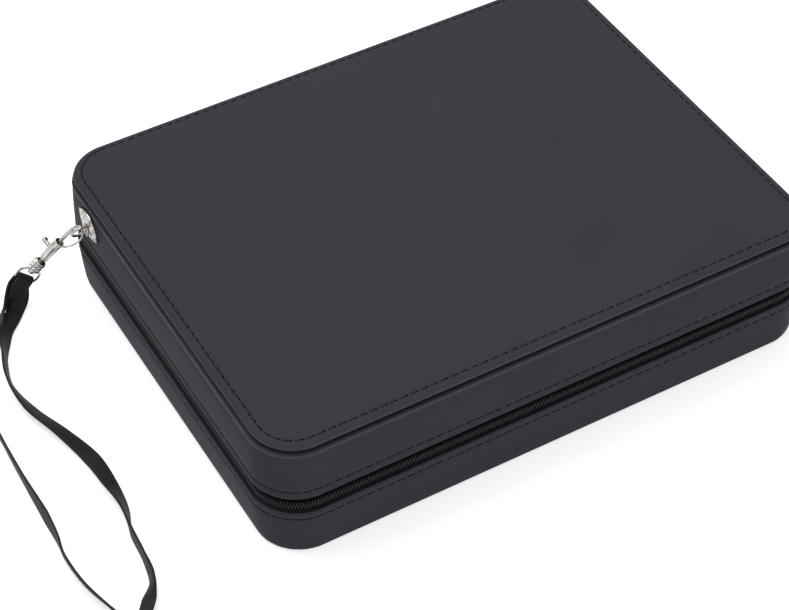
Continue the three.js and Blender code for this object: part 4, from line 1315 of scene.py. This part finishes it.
for colour, finish, paint, tops in (
    ("light", ivory, black_paint, (3, 5)), ("dark", burgundy, white_paint, (6, 2)),
):
    skins = []
    nodes = [f"{colour}_die_front", f"{colour}_die_back"]
    for node, top in zip(nodes, tops):
        low, high = frame_box(node)
        centre, size = (low + high) / 2, high.x - low.x
        skins += rounded_cube(centre, size, 1.1)
        for (n, u, v), value in zip(SIDES, die_values(top)):
            face = centre + n * size / 2
            skins += [pip(face + (u * a + v * b) * size * 0.27, n, size * 0.09) for a, b in PIPS[value]]
    worn_piece(f"{colour}_dice", f"{colour}_dice", skins, [finish, paint], nodes,
               sharp=60)
    print(colour, "dice have", sum(len(points) for points, *_ in skins), "points")

# %% [markdown]
# The doubling cube is rounded in the same way. Its numbers, 2 to 64, are thin painted figures.

# %% Doubling cube
cube_low, cube_high = frame_box("doubling_cube")
cube_centre, cube_size = (cube_low + cube_high) / 2, cube_high.x - cube_low.x
worn_piece("doubling_cube_rounded", "doubling_cube",
           rounded_cube(cube_centre, cube_size, 1.4), [ivory], ["doubling_cube"], sharp=60)
figure_skins = []
for (n, u, v), number in zip(SIDES, (64, 2, 4, 32, 8, 16)):
    figure = bpy.data.curves.new("figure", "FONT")
    figure.body = str(number)
    figure.size = cube_size * 0.62 * MM
    figure.align_x, figure.align_y = "CENTER", "CENTER"
    figure.extrude = 0.06 * MM
    carrier = add_object("figure", figure)
    flat = plain_mesh(carrier)
    points = [cube_centre + n * (cube_size / 2 + 0.02) + (u * p.co.x + v * p.co.y + n * p.co.z) / MM
              for p in flat.vertices]
    figure_skins.append((points, [tuple(face.vertices) for face in flat.polygons]))
    bpy.data.objects.remove(carrier)
figures = worn_piece("cube_figures", "doubling_cube", figure_skins, [black_paint], sharp=30)
print("figures:", len(figures.data.polygons), "faces")

# %% [markdown]
# The dice cups are leather over a stiff shell, with a turned rim and a felt lining. They lie on their
# sides, so each is a lathe along X. A row of stitches goes round below the rim.

# %% Dice cups
SHELL = 1.6
for name in ("front", "back"):
    low, high = frame_box(f"dice_cup_{name}")
    centre = (low + high) / 2
    radius, length = (high.z - low.z) / 2, high.x - low.x
    cup_place = directions(Vector((low.x, centre.y, centre.z)), Vector((0, 0, 1)), Vector((1, 0, 0)))
    # Outside from the base to the rim, then back down the inside
    profile = [
        (0.02, 0), (radius - 2.2, 0), (radius - 1.2, 0.4), (radius - 0.7, 1.6),
        (radius - 0.75, length - 6.4), (radius - 0.95, length - 6.0), (radius - 0.75, length - 5.6),
        (radius - 0.4, length - 3.2),
        (radius, length - 2.6), (radius, length - 0.7), (radius - 0.6, length), (radius - 1.5, length - 0.2),
        (radius - 2, length - 1), (radius - 2.2, 2.4), (radius - 3.4, 2.0), (0.02, 2.0),
    ]
    cup_skin = lathe(eased(profile, 0.5, 4), cup_place, 72)
    cup = worn_piece(f"cup_{name}", f"cup_{name}", [cup_skin], [leather, green_felt],
                     [f"dice_cup_{name}"], sharp=50)
    for face in cup.data.polygons:
        middle = Vector(face.center) / MM
        off_axis = math.hypot(middle.y - centre.y, middle.z - centre.z)
        face.material_index = int(off_axis < radius - SHELL and middle.x > low.x + 1.2)
    seam_radius = radius - 0.78
    line = [cup_place(seam_radius * c, seam_radius * s, length - 6.0) for c, s in circle(90)]
    outwards = [cup_place(c, s, 0) - cup_place(0, 0, 0) for c, s in circle(90)]
    cup_seam = copies_on(f"cup_{name}_stitches", [(line, outwards, True)], stitch, STITCH_PITCH,
                         thread_black)
    ride(cup_seam, f"cup_{name}")
print("cups are", round(length), "mm long")

# %% [markdown]
# The photograph has a white ground and a soft light from above. To the camera, the floor and the world
# are white, while a plain grey world and two large lamps light the object at a plain level.

# %% Floor, world and lamps
FLOOR_REACH = 6
FLOOR_LIFT = 0.58
AMBIENT = 0.5


def seen_by(tree, *kinds):
    """1 where the ray is of one of the kinds, such as the camera's own"""
    rays = tree.nodes.new("ShaderNodeLightPath")
    seen = rays.outputs[f"Is {kinds[0]} Ray"]
    for kind in kinds[1:]:
        seen = math_node(tree, "MAXIMUM", seen, rays.outputs[f"Is {kind} Ray"])
    return seen


floor_mesh = bpy.data.meshes.new("floor")
floor_corners = [(x * FLOOR_REACH, y * FLOOR_REACH, 0) for x, y in ((-1, -1), (1, -1), (1, 1), (-1, 1))]
floor_mesh.from_pydata(floor_corners, [], [(0, 1, 2, 3)])
floor = add_object("floor", floor_mesh)
floor_material, floor_tree, floor_shader = blank_material("white_floor")
set_sockets(floor_shader, {
    "Base Color": (0.86, 0.86, 0.86, 1), "Roughness": 0.9, "Specular IOR Level": 0.0,
    "Emission Color": (1, 1, 1, 1),
})
lift = math_node(floor_tree, "MULTIPLY", seen_by(floor_tree, "Camera", "Glossy"), FLOOR_LIFT)
floor_tree.links.new(lift, floor_shader.inputs["Emission Strength"])
floor_mesh.materials.append(floor_material)

world = bpy.data.worlds.new("studio")
world.use_nodes = True
bpy.context.scene.world = world
sky = world.node_tree
seen = seen_by(sky, "Camera", "Glossy", "Transmission")
level = math_node(sky, "MULTIPLY_ADD", seen, 1 - AMBIENT, AMBIENT)
background = sky.nodes["Background"]
background.inputs["Color"].default_value = (1, 1, 1, 1)
sky.links.new(level, background.inputs["Strength"])


def lamp(name, place, aim, size, power):
    """A large soft lamp at a place in metres, turned towards an aim"""
    data = bpy.data.lights.new(name, "AREA")
    data.shape = "RECTANGLE"
    data.size, data.size_y = size
    data.energy = power
    obj = add_object(name, data)
    obj.location = place
    obj.rotation_euler = (Vector(aim) - Vector(place)).to_track_quat("-Z", "Y").to_euler()


lamp("overhead_softbox", (-0.2, 0.5, 1.3), (0, 0, 0), (1.2, 0.9), 9)
lamp("front_strip", (0.35, -1.3, 0.75), (0, 0, 0.03), (1.0, 0.35), 4)
bpy.context.scene.view_settings.view_transform = "Standard"
